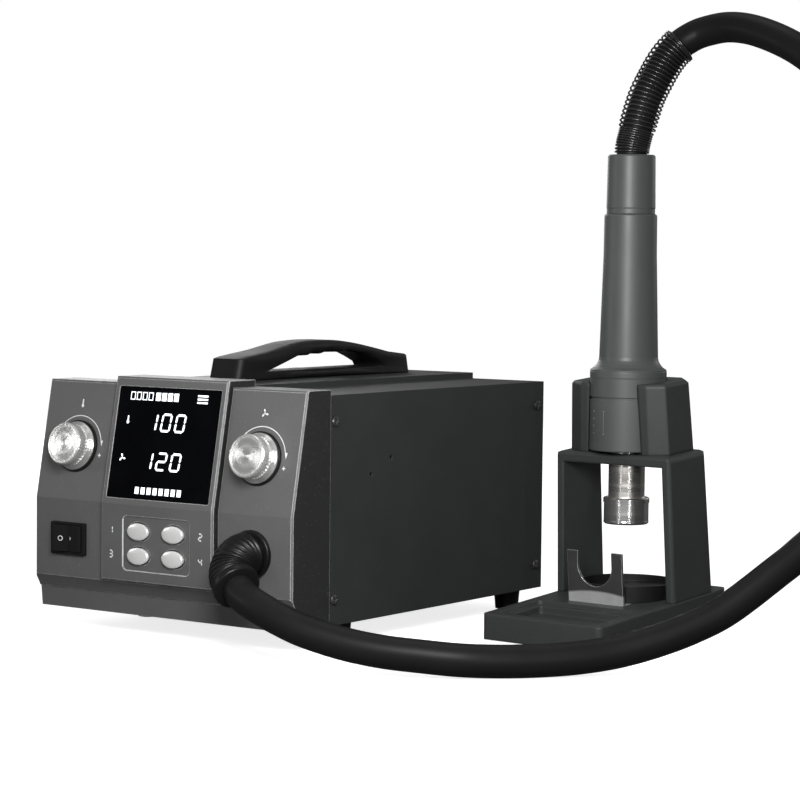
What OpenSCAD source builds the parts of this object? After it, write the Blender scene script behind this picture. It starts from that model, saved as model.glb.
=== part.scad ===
/* [View] */
// Piece to show, or all of them

/* [Station body] */
// Width of the station
body_w = 188; // [178:1:200]
// Depth of the sheet metal case behind the front bezel
case_d = 220; // [200:1:240]
// Height of the bezel above the underside of the case
bezel_h = 131.5; // [126:0.5:140]
// Depth of the bezel at its top edge
bezel_top_d = 21; // [16:0.5:24]
// Depth of the bezel below the kink
bezel_low_d = 34; // [32:0.5:40]
// Height of the kink between the leaning and the upright face
kink_z = 63.5; // [60:0.5:66]
// Height at which the upright face ends and the scoop begins
scoop_z = 19; // [18:0.5:20]
// Height of the foot strip under the scoop
strip_z = 11.5; // [10:0.5:12.5]
// Wall of the bezel and of the fascia
shell_t = 3; // [2.8:0.1:3.4]
// Drop from the bezel top to the cover top
cover_drop = 3; // [2:0.5:4]
// Sheet thickness of cover, chassis and rear panel
sheet_t = 1.2; // [1:0.1:1.5]
// Height of the raised band that runs along the middle of the cover
band_rise = 3.6; // [3:0.2:5]

/* [Centre fascia] */
// Width of the raised centre fascia
fascia_w = 82; // [80:1:86]
// Bevel along the outer edges of bezel and fascia
bevel = 1; // [0.6:0.1:1.2]
// How far the fascia stands in front of the side panels
fascia_out = 3; // [2:0.5:4]
// Shadow gap on each side of the fascia
fascia_gap = 0.8; // [0.5:0.1:1.2]
// Height of the lower edge of the fascia
fascia_z = 20.6; // [20.2:0.2:22]
// Width of the display window
window_w = 74.4; // [70:0.2:75]
// Distance of the window below the upper edge of the leaning face
window_top = 2.4315; // [2:0.0001:8]
// Distance of the window above the kink
window_u = 3.2; // [3:0.2:4]
// Thickness of the display window
window_t = 1.9; // [1.6:0.1:2]

/* [Buttons] */
// Long half axis of an oval button
button_a = 8; // [7:0.2:9]
// Short half axis of an oval button
button_b = 5.2; // [4.8:0.2:5.6]
// Distance between the button columns
button_dx = 25.3; // [23:0.1:27]
// Distance between the button rows
button_dz = 13.8; // [13.4:0.1:15]
// Height of the middle of the button field
button_z = 42; // [40:0.5:43]
// How far a button stands in front of the fascia
button_out = 1.8; // [1.5:0.1:2.4]
// Travel of a button
button_travel = 1.2; // [0.8:0.1:1.4]

/* [Knobs] */
// Distance of each knob from the middle
knob_x = 66.6; // [65:0.2:68]
// Height of the knob axis above the kink, along the leaning face
knob_u = 31; // [28:0.5:36]
// Radius of the knob cap
knob_r = 12.1; // [11:0.1:13]
// Radius of the flared skirt
skirt_r = 14; // [13.4:0.1:14.4]
// Height of the knob face above the panel
knob_h = 12.4; // [11:0.2:15]
// Radius of the black ring on the panel
ring_r = 15; // [14.6:0.1:16]
// Radius of the encoder shaft
shaft_r = 3; // [2.5:0.5:3]

/* [Power switch] */
// Width of the switch rim
switch_w = 25.6; // [24:0.2:27]
// Height of the switch rim
switch_h = 18.6; // [17.6:0.2:20]
// Distance of the switch from the middle, towards the left
switch_x = 67; // [65:0.5:68]
// Height of the switch
switch_z = 41.2; // [40:0.2:43]
// Half of the rocker's tilt between its two places
rocker_tilt = 7; // [5:1:8]

/* [Handle] */
// Length of the carrying handle
handle_l = 173; // [150:1:175]
// Width of the carrying handle
handle_w = 24; // [20:1:28]
// Distance of the handle behind the seam
handle_y = 21; // [15:1:26]
// Height of the grip above the raised band
handle_h = 22; // [20:0.5:26]

/* [Feet] */
// Height of the rubber feet
foot_h = 12; // [8:0.5:14]
// Radius of a foot where it meets the case
foot_r = 8.2; // [7:0.2:9]
// Distance of the rear feet from the middle
rear_foot_x = 78; // [70:1:80]
// Distance of the front feet from the middle
front_foot_x = 70; // [60:1:72]

/* [Stand] */
// Stand axis to the right of the station's middle
stand_x = 186; // [184:1:200]
// Stand axis behind the seam
stand_y = 164; // [150:1:175]
// Turn of the stand about the upright
stand_yaw = -4.3; // [-8:0.1:2]
// Width of the stand base
base_w = 82.6; // [80:0.2:90]
// Reach of the base in front of the handset axis
base_front = 83; // [80:1:90]
// Reach of the base behind the handset axis
base_back = 45; // [42:1:50]
// Height of the base at its front edge
base_h1 = 15; // [14:0.5:18]
// Height of the base at its back edge
base_h2 = 25.5; // [24:0.5:28]
// Height of the arch above the base, square to its slope
arch_h = 83.6; // [80:0.2:88]
// How far each side of the arch leans in from the side of the base
arch_in = 1.8; // [1:0.1:3]
// Thickness of the arch posts
post_t = 5.2; // [4.5:0.1:6]
// Height of the cradle above the arch
cradle_h = 40.6; // [36:0.2:42]
// Half width of the cradle
cradle_w = 33.4; // [32:0.2:35]

/* [Handset] */
// Height of the barrel's lower face above the floor
barrel_z = 106; // [104:0.5:107]
// Radius of the heater barrel
barrel_r = 22; // [21:0.1:22.4]
// Length of the barrel from its lower face to the ring
barrel_l = 42; // [40:0.5:46]
// Radius of the grip at its thick end
grip_r1 = 17; // [16.4:0.1:18]
// Radius of the grip at its thin end
grip_r2 = 15.2; // [14.8:0.1:15.6]
// Length of the grip above the ring, flare included
grip_l = 90.2; // [84:0.2:96]
// Radius of the upper sleeve
sleeve_r = 14.1; // [13.6:0.1:14.4]
// Length of the upper sleeve
sleeve_l = 31; // [28:0.5:34]
// Radius of the steel nozzle tube
tube_r = 10.55; // [10:0.05:11]
// Height of the nozzle's lower face above the floor
nozzle_z = 63.4; // [60:0.2:66]
// Radius of the nozzle
nozzle_r = 13.4; // [13:0.1:13.8]
// Length of the nozzle
nozzle_l = 15.4; // [14:0.2:18]

/* [Hose] */
// Diameter of the air hose
hose_d = 17.5; // [16:0.5:18]
// Wire thickness of the spring guard
wire_d = 1.2; // [1:0.1:1.4]

/* [Hidden] */
$fn = 48;
cut = 1;            // overshoot of a cutting tool past the face it opens
fit = 0.1;          // gap between pieces that are assembled by hand
run = 0.06;         // radial gap of a turning or sliding fit

// Colours of the pieces
c_grey = [0.34, 0.34, 0.35];
c_case = [0.15, 0.155, 0.155];
c_black = [0.05, 0.05, 0.05];
c_steel = [0.7, 0.7, 0.7];
c_alu = [0.8, 0.8, 0.8];
c_grip = [0.28, 0.29, 0.29];
c_board = [0.1, 0.3, 0.18];
c_brass = [0.75, 0.6, 0.3];
c_white = [0.9, 0.9, 0.88];

// Bezel profile
lean = atan((bezel_low_d - bezel_top_d) / (bezel_h - kink_z));
face_l = (bezel_h - kink_z) / cos(lean);
window_h = face_l - window_u - window_top;
// Scoop: how far in, how far down, from the lower edge of the upright face
scoop = [[1.3, 2], [2.9, 4.7], [4.2, 7.2]];
strip_in = 5;
strip_low_in = 6.2;
half_w = body_w / 2;

// Case
case_in = 0.5;                          // the case stands this far inside the bezel
case_x = half_w - case_in;
case_z = 0.8;
cover_h = bezel_h - cover_drop;
band_h = cover_h + band_rise;
band_x = fascia_w / 2;
inner_x = case_x - sheet_t - fit;       // half the width free inside the cover
flange_t = 1.5;
lip_l = 9;
lip_t = 2.6;
screw_in = 4;                           // side screws behind the seam and before the back edge
rear_screw_in = 8;
screw_z = [15.5, bezel_h - 17.5];
screw_head_r = 2.8;
screw_head_h = 1.6;
screw_r = 1.5;
rear_flange = 13;

// Fascia
fascia_h = bezel_h + band_rise;
win_ledge = 3;
win_sink = 0.3;
pad_w = 49;
pad_h = 31;
pad_r = 3;
pad_deep = 0.8;
flap = 5;                               // flange of the fascia behind the side panels
button_gap = 0.25;
button_rim = 1.2;
button_rim_t = 1.2;
stem_r = 1.4;
board_t = 1.6;
board_gap = 8;
tact_h = 3.5;
post_r = 2.4;
led_t = 5;

// Knobs
ring_t = 1.2;
ring_hole_r = 7.8;
nut_r = 6.8;
nut_t = 2;
bush_r = 4.5;
enc_w = 13;
enc_t = 6.5;
skirt_h = 3.2;
grip_teeth = 40;
tooth = 0.45;
knob_lift = ring_t + 0.4;
dimple_r = 1.1;
dimple_at = 8.6;

// Switch
rim_t = 2;
rim_w = 2.6;
sw_body_w = switch_w - 3;
sw_body_h = switch_h - 2.4;
sw_deep = 16;
sw_wall = 1.4;
rocker_r = (switch_w - 2 * rim_w) / 2 - 0.2;
rocker_h = switch_h - 2 * rim_w + 1.6;
pivot_out = 0.5;
pin_r = 1;

// Gland
gland_x = knob_x;
gland_z = 42;
gland_base_r = 13.4;
gland_base_t = 3;
gland_tube_r = 10.6;
gland_rib_r = 12.6;
gland_bore = 6.5;
gland_fwd = 6;
bend_r = 15;
bend_1 = 50;        // first bend, downwards
side_1 = 10;
bend_2 = 46;        // second bend, to the side
side_2 = 84;
collar_l = 5;
collar_r = 13;
spigot_r = 8.6;
spigot_l = 22;
rib_n = 11;
boot_bore = 7;
gland_y = -bezel_low_d;
// Heading and end of the gland, followed through its two bends
head_0 = [0, -1, 0];
down_1 = [sin(side_1), 0, -cos(side_1)];
head_1 = head_0 * cos(bend_1) + down_1 * sin(bend_1);
down_2 = [cos(side_1), 0, sin(side_1)] * sin(side_2) + (down_1 * cos(bend_1) - head_0 * sin(bend_1)) * cos(side_2);
head_2 = head_1 * cos(bend_2) + down_2 * sin(bend_2);
gland_end = [gland_x, gland_y - gland_fwd, gland_z]
    + bend_r * (head_0 * sin(bend_1) + down_1 * (1 - cos(bend_1)))
    + bend_r * (head_1 * sin(bend_2) + down_2 * (1 - cos(bend_2))) + head_2 * collar_l;

// Handle
bar_t = 4.6;
wall_end = 26;

// Feet
foot_r2 = foot_r - 1.2;
rear_foot_in = 15;
front_foot_y = 40;
feet = [[rear_foot_x, case_d - rear_foot_in], [-rear_foot_x, case_d - rear_foot_in],
    [front_foot_x, front_foot_y], [-front_foot_x, front_foot_y]];

// Inlet
inlet_x = -58;
inlet_z = 34;
inlet_w = 48;
inlet_hh = 23;
inlet_t = 2.5;
inlet_deep = 20;
inlet_body_w = 28;
inlet_body_h = 20.4;
socket_w = 24.4;
socket_h = 16.6;
socket_deep = 16;
inlet_pitch = 40;

// Blower
blow_x = gland_x;
blow_y = 96;
blow_z = 72;
blow_r = 43;
blow_w = 42;
blow_t = 2;
eye_r = 21;
duct_h = 28;
duct_l = 22;
imp_r = 37;
imp_w = 26;
imp_hub = 16.4;
motor_r = 14;
motor_l = 22;
blade_n = 14;
duct_r = 11.6;
leg_t = 2.5;

// Boards inside the station
pcb_x = [-86, 30];
pcb_y = [26, case_d - 80];
pcb_z = 9;
terminal = [9, 12, 8];                  // connectors along the edge of the board
terminal_pitch = 16;
fin = [1.6, 70, 34];                    // heat sink
fin_n = 5;
fin_pitch = 4;
sink_base = 4;
cap_r = 9;                              // capacitors
cap_h = 32;
cap_pitch = 24;
trafo_x = -54;                          // transformer, its foot, core, windows and winding
trafo_back = 54;
trafo_foot = [48, 40, 3];
trafo_core = [38, 34, 42];
trafo_limb = 6;
trafo_window_h = 28;
trafo_wind = [24, 32, 32];

// Stand
tilt = atan((base_h2 - base_h1) / (base_front + base_back));
base_top0 = base_h1 + base_front * tan(tilt);   // height of the base on the handset axis
base_r = 4;
pad_proud = 0.6;
arch_wl = base_w;                       // width of the arch at its foot
arch_w = base_w - 2 * arch_in;          // and at its top
arch_f = [11, 8.8];                     // front of the arch, foot and top
arch_bevel = 1.5;                       // bevel of the outer edges of arch and cradle
arch_b = [29.8, 28.7];                  // back of the arch, foot and top
arch_top_t = 6;
bore_r = barrel_r + 0.45;
hole_r = nozzle_r + 0.8;
cradle_y = 8.5;                         // bore centre in the leaning frame of the arch
cradle_front = 14.5;
cradle_back = 27;
cradle_strip = 23.8;
cradle_cut = 5.5;
cradle_slope = 1.6;                     // how much wider the cradle is at its foot
fork_y = -29.4;
fork_w = 37.8;
fork_t = 1.5;
fork_h = 30;
fork_r = 11.7;
fork_mid = 21.5;
plate_back = 22;
tray_step = 2;
tray_deep = 6.4;
tray_floor = 3.2;
tray_rim = 7;
tray_gap = 8;
cup_r = 30;
cup_y = 2.6;
cup_z = 30;
cup_t = 2;
cup_screw = [12, -17];
seat_screw_l = 4.5;

// Handset heights above the floor
ring_z = barrel_z + barrel_l;
ring_l = 4.2;
grip_z = ring_z + ring_l;
grip_top = grip_z + grip_l;
sleeve_z = grip_top + 3;
sleeve_top = sleeve_z + sleeve_l;
groove_z = barrel_z + 29.6;
groove_l = 1.6;
groove_in = 1;
shell2 = 2.4;
tube_z = nozzle_z + 3.4;
tube_t = 1;
tube_top = barrel_z + 26;
former_r = 7;

// Air hose
hose_r = hose_d / 2;
hose_sides = 12;
guard_r = hose_r + 0.25 + wire_d / 2;

// Frame: the origin is the middle of the station and the stand, on the floor
yaw_s = abs(sin(stand_yaw));
yaw_c = cos(stand_yaw);
x_high = stand_x + yaw_c * (base_w / 2 - base_r) + yaw_s * (base_back - base_r) + base_r;
x_low = -half_w;
y_low = gland_end[1] - collar_r * sqrt(1 - head_2[1] * head_2[1]);
y_high = case_d + inlet_t;
org_x = (x_low + x_high) / 2;
org_y = (y_low + y_high) / 2;

module at_station() { translate([-org_x, -org_y, foot_h]) children(); }
module at_stand() {
    translate([stand_x - org_x, stand_y - org_y, 0]) rotate([0, 0, stand_yaw]) children();
}
// Leaning frame of arch and cradle, square to the sloping top of the base
module at_slope() { translate([0, 0, base_top0]) rotate([tilt, 0, 0]) children(); }
// Frame on the leaning panel face: x across, y up the face, z out of it
module on_lean(x, u, out = 0) {
    translate([x, -bezel_low_d + u * sin(lean), kink_z + u * cos(lean)])
        rotate([90 - lean, 0, 0]) translate([0, 0, out]) children();
}
// Frame on the upright panel face
module on_front(x, z, out = 0) {
    translate([x, -bezel_low_d, z]) rotate([90, 0, 0]) translate([0, 0, out]) children();
}
// Extrudes a side view, given in Y and Z, across the width
module across(w) { rotate([90, 0, 90]) linear_extrude(w, center = true) children(); }
module tube(r1, r2, h) {
    difference() {
        cylinder(r = r1, h = h);
        translate([0, 0, -cut]) cylinder(r = r2, h = h + 2 * cut);
    }
}
module plate(w, h, t, r) {
    linear_extrude(t) {
        square([w - 2 * r, h], center = true);
        square([w, h - 2 * r], center = true);
        for (sx = [-1, 1], sy = [-1, 1])
            translate([sx * (w / 2 - r), sy * (h / 2 - r)]) circle(r = r);
    }
}
function oval(a, b, n = 40) = [for (i = [0 : n - 1]) [a * cos(360 * i / n), b * sin(360 * i / n)]];

// Side view of the bezel, d inside its outer surface
function lean_y(z, d) = -bezel_top_d - (bezel_h - z) * tan(lean) + d / cos(lean);
function bezel_side(d, back) = concat(
    [[back, d], [back, bezel_h - d], [lean_y(bezel_h - d, d) + bevel, bezel_h - d],
     [lean_y(bezel_h - d - bevel, d), bezel_h - d - bevel],
     [-bezel_low_d + d, kink_z - d * tan(lean / 2)], [-bezel_low_d + d, scoop_z + d / 2]],
    [for (p = scoop) [-bezel_low_d + d + p[0], scoop_z + d / 2 - p[1]]],
    [[-bezel_low_d + d + strip_in, strip_z - d / 4], [-bezel_low_d + d + strip_low_in, d]]);
// Side view of the fascia, d inside its outer surface
function fascia_side(d, back) =
    [[back, fascia_z + d], [back, fascia_h - d], [lean_y(fascia_h - d, d - fascia_out) + bevel, fascia_h - d],
     [lean_y(fascia_h - d - bevel, d - fascia_out), fascia_h - d - bevel],
     [-bezel_low_d - fascia_out + d, kink_z - (d - fascia_out) * tan(lean / 2)],
     [-bezel_low_d - fascia_out + d, fascia_z + d]];

// Cutter for the bevels along the upright and the leaning edge at x, both cuts crossing at the kink
module edge_cut(x, out, leg = bevel) {
    c = leg * sqrt(2);
    on_lean(x, face_l / 2, out) rotate([0, 45, 0]) cube([c, face_l + 4 * shell_t, c], center = true);
    on_front(x, kink_z / 2, out) rotate([0, 45, 0]) cube([c, kink_z + 4 * shell_t, c], center = true);
}

module front_bezel() {
    slot = fascia_w + 2 * fascia_gap;
    color(c_grey) at_station() difference() {
        union() {
            difference() {
                across(body_w) polygon(bezel_side(0, 0));
                across(body_w - 2 * shell_t) polygon(bezel_side(shell_t, cut));
            }
            for (s = [-1, 1]) translate([s * (inner_x - fit - lip_t / 2), 0, 0])
                across(lip_t) translate([-flap, shell_t]) square([flap + lip_l, cover_h - 2 * shell_t]);
        }
        translate([-slot / 2, -bezel_low_d - cut, fascia_z - fascia_gap])
            cube([slot, bezel_low_d + 2 * cut, bezel_h]);
        for (s = [-1, 1]) {
            edge_cut(s * half_w, 0);
            intersection() {
                edge_cut(s * slot / 2, 0, bevel * 0.7);
                translate([-half_w, -2 * bezel_low_d, fascia_z - fascia_gap]) cube([body_w, 2 * bezel_low_d, bezel_h]);
            }
        }
        for (s = [-1, 1]) on_lean(s * knob_x, knob_u, -2 * shell_t) cylinder(r = bush_r + fit, h = 3 * shell_t);
        on_front(-switch_x, switch_z, -2 * shell_t)
            linear_extrude(3 * shell_t) square([sw_body_w + 2 * fit, sw_body_h + 2 * fit], center = true);
        on_front(gland_x, gland_z, -2 * shell_t) cylinder(r = spigot_r + fit, h = 3 * shell_t);
        for (s = [-1, 1], z = screw_z) translate([s * inner_x, screw_in, z])
            rotate([0, 90, 0]) cylinder(r = screw_r + run, h = 4 * lip_t, center = true);
    }
}

module center_fascia() {
    color(c_grey) at_station() difference() {
        union() {
            difference() {
                across(fascia_w) polygon(fascia_side(0, 0));
                across(fascia_w - 2 * shell_t) polygon(fascia_side(shell_t, cut));
            }
            // flange that grips the side panels from behind
            difference() {
                across(fascia_w + 2 * flap) intersection() {
                    polygon(bezel_side(shell_t + fit, -fit));
                    translate([-bezel_low_d, fascia_z]) square([bezel_low_d, bezel_h - fascia_z - 3 * shell_t]);
                }
                across(fascia_w + 2 * flap + cut) polygon(bezel_side(shell_t + fit + flange_t, cut));
                across(fascia_w - 2 * shell_t) polygon(fascia_side(shell_t, cut));
            }
            for (sx = [-1, 1], sy = [-1, 1]) {
                on_lean(sx * (window_w / 2 - win_ledge + post_r), window_u + window_h / 2
                    + sy * (window_h / 2 - win_ledge - post_r), fascia_out - shell_t - board_gap)
                    cylinder(r = post_r, h = board_gap + cut);
                on_front(sx * (pad_w / 2 - 2 * post_r), button_z + sy * (pad_h / 2 + post_r / 4),
                    fascia_out - shell_t - board_gap) cylinder(r = post_r, h = board_gap + cut);
            }
        }
        for (s = [-1, 1]) edge_cut(s * fascia_w / 2, fascia_out);
        // window seat and the light opening behind it
        on_lean(0, window_u + window_h / 2, fascia_out - window_t - win_sink)
            plate(window_w + 2 * fit, window_h + 2 * fit, shell_t, 1);
        on_lean(0, window_u + window_h / 2, fascia_out - shell_t - board_gap + led_t / 2)
            plate(window_w - 2 * win_ledge, window_h - 2 * win_ledge, board_gap + shell_t, 1);
        // button field
        on_front(0, button_z, fascia_out - pad_deep) plate(pad_w, pad_h, pad_deep + cut, pad_r);
        for (sx = [-1, 1], sz = [-1, 1]) on_front(sx * button_dx / 2, button_z + sz * button_dz / 2, -2 * shell_t)
            linear_extrude(4 * shell_t) polygon(oval(button_a + button_gap, button_b + button_gap));
    }
}

module display_window() {
    color(c_black) at_station() on_lean(0, window_u + window_h / 2, fascia_out - window_t - win_sink)
        plate(window_w, window_h, window_t, 1);
}

led_out = fascia_out - shell_t - board_gap;
module display_module() {
    color(c_white) at_station() on_lean(0, window_u + window_h / 2, led_out)
        plate(window_w - 2 * win_ledge - 2, window_h - 2 * win_ledge - 2,
            fascia_out - window_t - win_sink - led_out - fit, 1);
}
module display_board() {
    color(c_board) at_station() on_lean(0, window_u + window_h / 2, led_out - board_t)
        plate(window_w, window_h - 2, board_t, 2);
}

module channel_button(sx, sz) {
    top = fascia_out + button_out;
    color(c_alu) at_station() on_front(sx * button_dx / 2, button_z + sz * button_dz / 2) {
        translate([0, 0, -button_rim_t - fit]) linear_extrude(top - 0.6 + button_rim_t + fit) polygon(oval(button_a, button_b));
        translate([0, 0, top - 0.6]) linear_extrude(0.6, scale = 0.9) polygon(oval(button_a, button_b));
        translate([0, 0, -button_rim_t - fit]) linear_extrude(button_rim_t)
            polygon(oval(button_a + button_rim, button_b - button_gap));
        translate([0, 0, -board_gap + tact_h + button_travel + 0.1]) cylinder(r = stem_r, h = board_gap - tact_h);
    }
}

module button_board() {
    color(c_board) at_station() {
        on_front(0, button_z, fascia_out - shell_t - board_gap - board_t) plate(pad_w + 4, 2 * (button_z - fascia_z - shell_t) - 1, board_t, 2);
        for (sx = [-1, 1], sz = [-1, 1]) on_front(sx * button_dx / 2, button_z + sz * button_dz / 2,
            fascia_out - shell_t - board_gap) {
            plate(6, 6, tact_h - 1, 0.5);
            cylinder(r = stem_r, h = tact_h);
        }
    }
}

module toothed(r, n, d, h) {
    linear_extrude(h) polygon([for (i = [0 : 4 * n - 1])
        let (q = i % 4, a = 90 * i / n, rr = q < 2 ? r : r - d) [rr * cos(a), rr * sin(a)]]);
}
module knob(x) {
    color(c_alu) at_station() on_lean(x, knob_u) {
        difference() {
            union() {
                rotate_extrude() polygon([[0, knob_lift], [skirt_r, knob_lift], [skirt_r, knob_lift + 0.8],
                    [knob_r, knob_lift + skirt_h], [knob_r, knob_lift + skirt_h + 0.6],
                    [knob_r - tooth, knob_lift + skirt_h + 0.6], [knob_r - tooth, knob_h - 1.2],
                    [knob_r, knob_h - 1.2], [knob_r, knob_h - 0.7], [knob_r - 0.7, knob_h],
                    [knob_r - 1.6, knob_h], [knob_r - 1.9, knob_h - 0.3], [0, knob_h - 0.3]]);
                translate([0, 0, knob_lift + skirt_h + 0.3])
                    toothed(knob_r - 0.05, grip_teeth, tooth, knob_h - knob_lift - skirt_h - 1.2);
            }
            translate([0, 0, knob_lift - cut]) cylinder(r = ring_hole_r, h = nut_t + cut);
            translate([dimple_at * cos(135), dimple_at * sin(135), knob_h - 0.3 - 0.3])
                cylinder(r = dimple_r, h = cut);
        }
        // shaft of the encoder, which turns with the knob
        translate([0, 0, -shell_t]) cylinder(r = shaft_r, h = knob_h - cut);
    }
}
module knob_rings() {
    color(c_black) at_station() for (s = [-1, 1]) on_lean(s * knob_x, knob_u, run / 3) tube(ring_r, ring_hole_r, ring_t);
}
module knob_encoders() {
    color(c_steel) at_station() for (s = [-1, 1]) on_lean(s * knob_x, knob_u, -shell_t) difference() {
        union() {
            cylinder(r = bush_r, h = shell_t + nut_t);
            translate([0, 0, -enc_t]) plate(enc_w, enc_w, enc_t, 1);
        }
        translate([0, 0, -run]) cylinder(r = shaft_r + run, h = shell_t + nut_t + cut);
    }
}
module encoder_nuts() {
    color(c_steel) at_station() for (s = [-1, 1]) on_lean(s * knob_x, knob_u) difference() {
        cylinder(r = nut_r, h = nut_t - 0.2, $fn = 6);
        translate([0, 0, -cut]) cylinder(r = bush_r + run, h = nut_t + 2 * cut);
    }
}

module switch_body() {
    color(c_black) at_station() on_front(-switch_x, switch_z) {
        difference() {
            union() {
                plate(switch_w, switch_h, rim_t, 0.8);
                translate([0, 0, -sw_deep]) plate(sw_body_w, sw_body_h, sw_deep + cut, 0.6);
            }
            translate([0, 0, -sw_deep + 6]) linear_extrude(sw_deep)
                square([2 * rocker_r + 0.4, rocker_h + 0.4], center = true);
        }
        translate([0, 0, pivot_out]) rotate([90, 0, 0])
            cylinder(r = pin_r, h = rocker_h + cut, center = true);
        for (x = [-6, 0, 6]) translate([x, 0, -sw_deep - 6]) linear_extrude(6 + cut) square([0.8, 6.3], center = true);
    }
}
module power_rocker() {
    color(c_black) at_station() on_front(-switch_x, switch_z, pivot_out) rotate([90, rocker_tilt, 0]) difference() {
        intersection() {
            cylinder(r = rocker_r, h = rocker_h, center = true);
            linear_extrude(rocker_h, center = true) polygon([[-rocker_r, -4], [rocker_r, -4], [rocker_r, 3.8],
                [0, 2], [-rocker_r, 3.8]]);
        }
        cylinder(r = pin_r + run, h = rocker_h + cut, center = true);
    }
}

// Centre and heading of the ribbed boot, s along its middle line from the start of the first bend
bend_l1 = bend_r * bend_1 * PI / 180;
bend_l2 = bend_r * bend_2 * PI / 180;
boot_0 = [gland_x, gland_y - gland_fwd, gland_z];
boot_1 = boot_0 + bend_r * (head_0 * sin(bend_1) + down_1 * (1 - cos(bend_1)));
boot_2 = boot_1 + bend_r * (head_1 * sin(bend_2) + down_2 * (1 - cos(bend_2)));
function on_bend(p, h, d, a) = [p + bend_r * (h * sin(a) + d * (1 - cos(a))), h * cos(a) + d * sin(a)];
function boot_at(s) = s < 0 ? [boot_0 + head_0 * s, head_0]
    : s < bend_l1 ? on_bend(boot_0, head_0, down_1, bend_1 * s / bend_l1)
    : s < bend_l1 + bend_l2 ? on_bend(boot_1, head_1, down_2, bend_2 * (s - bend_l1) / bend_l2)
    : [boot_2 + head_2 * (s - bend_l1 - bend_l2), head_2];
boot_l = bend_l1 + bend_l2;
rib_pitch = boot_l / rib_n;
boot_rings = concat([[-gland_fwd + gland_base_t - 1, gland_tube_r]],
    [for (i = [0 : rib_n - 1], k = [0 : 3]) [rib_pitch * (i + [0.1, 0.25, 0.75, 0.9][k]) - 1,
        k == 0 || k == 3 ? gland_tube_r : gland_rib_r]],
    [[boot_l - 0.8, gland_tube_r], [boot_l - 0.6, collar_r - 0.3], [boot_l + 0.6, collar_r],
     [boot_l + collar_l - 0.6, collar_r], [boot_l + collar_l, collar_r - 0.5]],
    [for (i = [rib_n + 2 : -1 : 0]) [i > rib_n ? boot_l + collar_l * (i - rib_n) / 2 : rib_pitch * i, boot_bore]],
    [[-gland_fwd + gland_base_t - 1, boot_bore]]);
module boot() {
    n = 24;
    m = len(boot_rings);
    side = [cos(side_1), 0, sin(side_1)];
    verts = [for (q = boot_rings) let (c = boot_at(q[0]), u = unit(side - c[1] * (side * c[1])), v = cross(c[1], u))
        for (k = [0 : n - 1]) c[0] + q[1] * (u * cos(360 * k / n) + v * sin(360 * k / n))];
    polyhedron(verts, [for (i = [0 : m - 1], k = [0 : n - 1])
        let (a = i * n + k, b = i * n + (k + 1) % n, j = ((i + 1) % m) * n) [a, j + k, j + (k + 1) % n, b]]);
}
module hose_gland() {
    color(c_black) at_station() {
        on_front(gland_x, gland_z, 0) difference() {
            union() {
                cylinder(r = gland_base_r, h = gland_base_t);
                translate([0, 0, -spigot_l]) cylinder(r = spigot_r, h = spigot_l + cut);
            }
            translate([0, 0, -spigot_l - cut]) cylinder(r = gland_bore, h = spigot_l + gland_base_t + 2 * cut);
        }
        boot();
    }
}
module gland_nut() {
    color(c_black) at_station() on_front(gland_x, gland_z, -shell_t - 5) difference() {
        cylinder(r = gland_base_r, h = 5, $fn = 6);
        translate([0, 0, -cut]) cylinder(r = spigot_r + run, h = 5 + 2 * cut);
    }
}

// Section of the cover in X and Z, d inside its outer surface
function cover_section(d, low) = [[-case_x + d, low], [-case_x + d, cover_h - d], [-band_x + d, cover_h - d],
    [-band_x + d, band_h - d], [band_x - d, band_h - d], [band_x - d, cover_h - d],
    [case_x - d, cover_h - d], [case_x - d, low]];
module along(l) { translate([0, l, 0]) rotate([90, 0, 0]) linear_extrude(l) children(); }
handle_holes = [handle_y + wall_end / 2, handle_y + handle_l - wall_end / 2];
module top_cover() {
    color(c_case) at_station() difference() {
        along(case_d) polygon(cover_section(0, case_z));
        translate([0, -cut, 0]) along(case_d + 2 * cut) polygon(cover_section(sheet_t, -cut));
        for (s = [-1, 1], z = screw_z, y = [screw_in, case_d - rear_screw_in])
            translate([s * case_x, y, z]) rotate([0, 90, 0]) cylinder(r = screw_r + run, h = 4, center = true);
        for (p = [[58, 91], [39, 82.6]]) translate([case_x, p[0], p[1]])
            rotate([0, 90, 0]) cylinder(r = 1.3, h = 4, center = true);
        for (y = handle_holes) translate([0, y, band_h - 2 * sheet_t]) cylinder(r = 2 + fit, h = 4 * sheet_t);
    }
}
module cover_screws() {
    color(c_steel) at_station() for (s = [-1, 1], z = screw_z, y = [screw_in, case_d - rear_screw_in])
        translate([s * case_x, y, z]) rotate([0, s * 90, 0]) difference() {
            union() {
                cylinder(r = screw_head_r, h = screw_head_h - 0.5);
                translate([0, 0, screw_head_h - 0.5]) cylinder(r1 = screw_head_r, r2 = screw_head_r - 0.6, h = 0.5);
                translate([0, 0, -6]) cylinder(r = screw_r, h = 6 + 0.2);
            }
            for (a = [0, 90]) rotate([0, 0, a]) translate([-1.6, -0.3, screw_head_h - 0.8]) cube([3.2, 0.6, cut + 1]);
        }
}
module bottom_chassis() {
    w = 2 * inner_x - 2 * fit;
    color(c_steel) at_station() difference() {
        union() {
            translate([-w / 2, fit, case_z]) cube([w, case_d - fit, sheet_t]);
            for (s = [-1, 1]) translate([s * (w / 2 - flange_t / 2) - flange_t / 2, lip_l + 2, case_z])
                cube([flange_t, case_d - rear_flange - lip_l - 4, 20]);
        }
        for (p = feet) translate([p[0], p[1], 0]) cylinder(r = 2 + fit, h = 2 * sheet_t + cut);
    }
}
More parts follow.
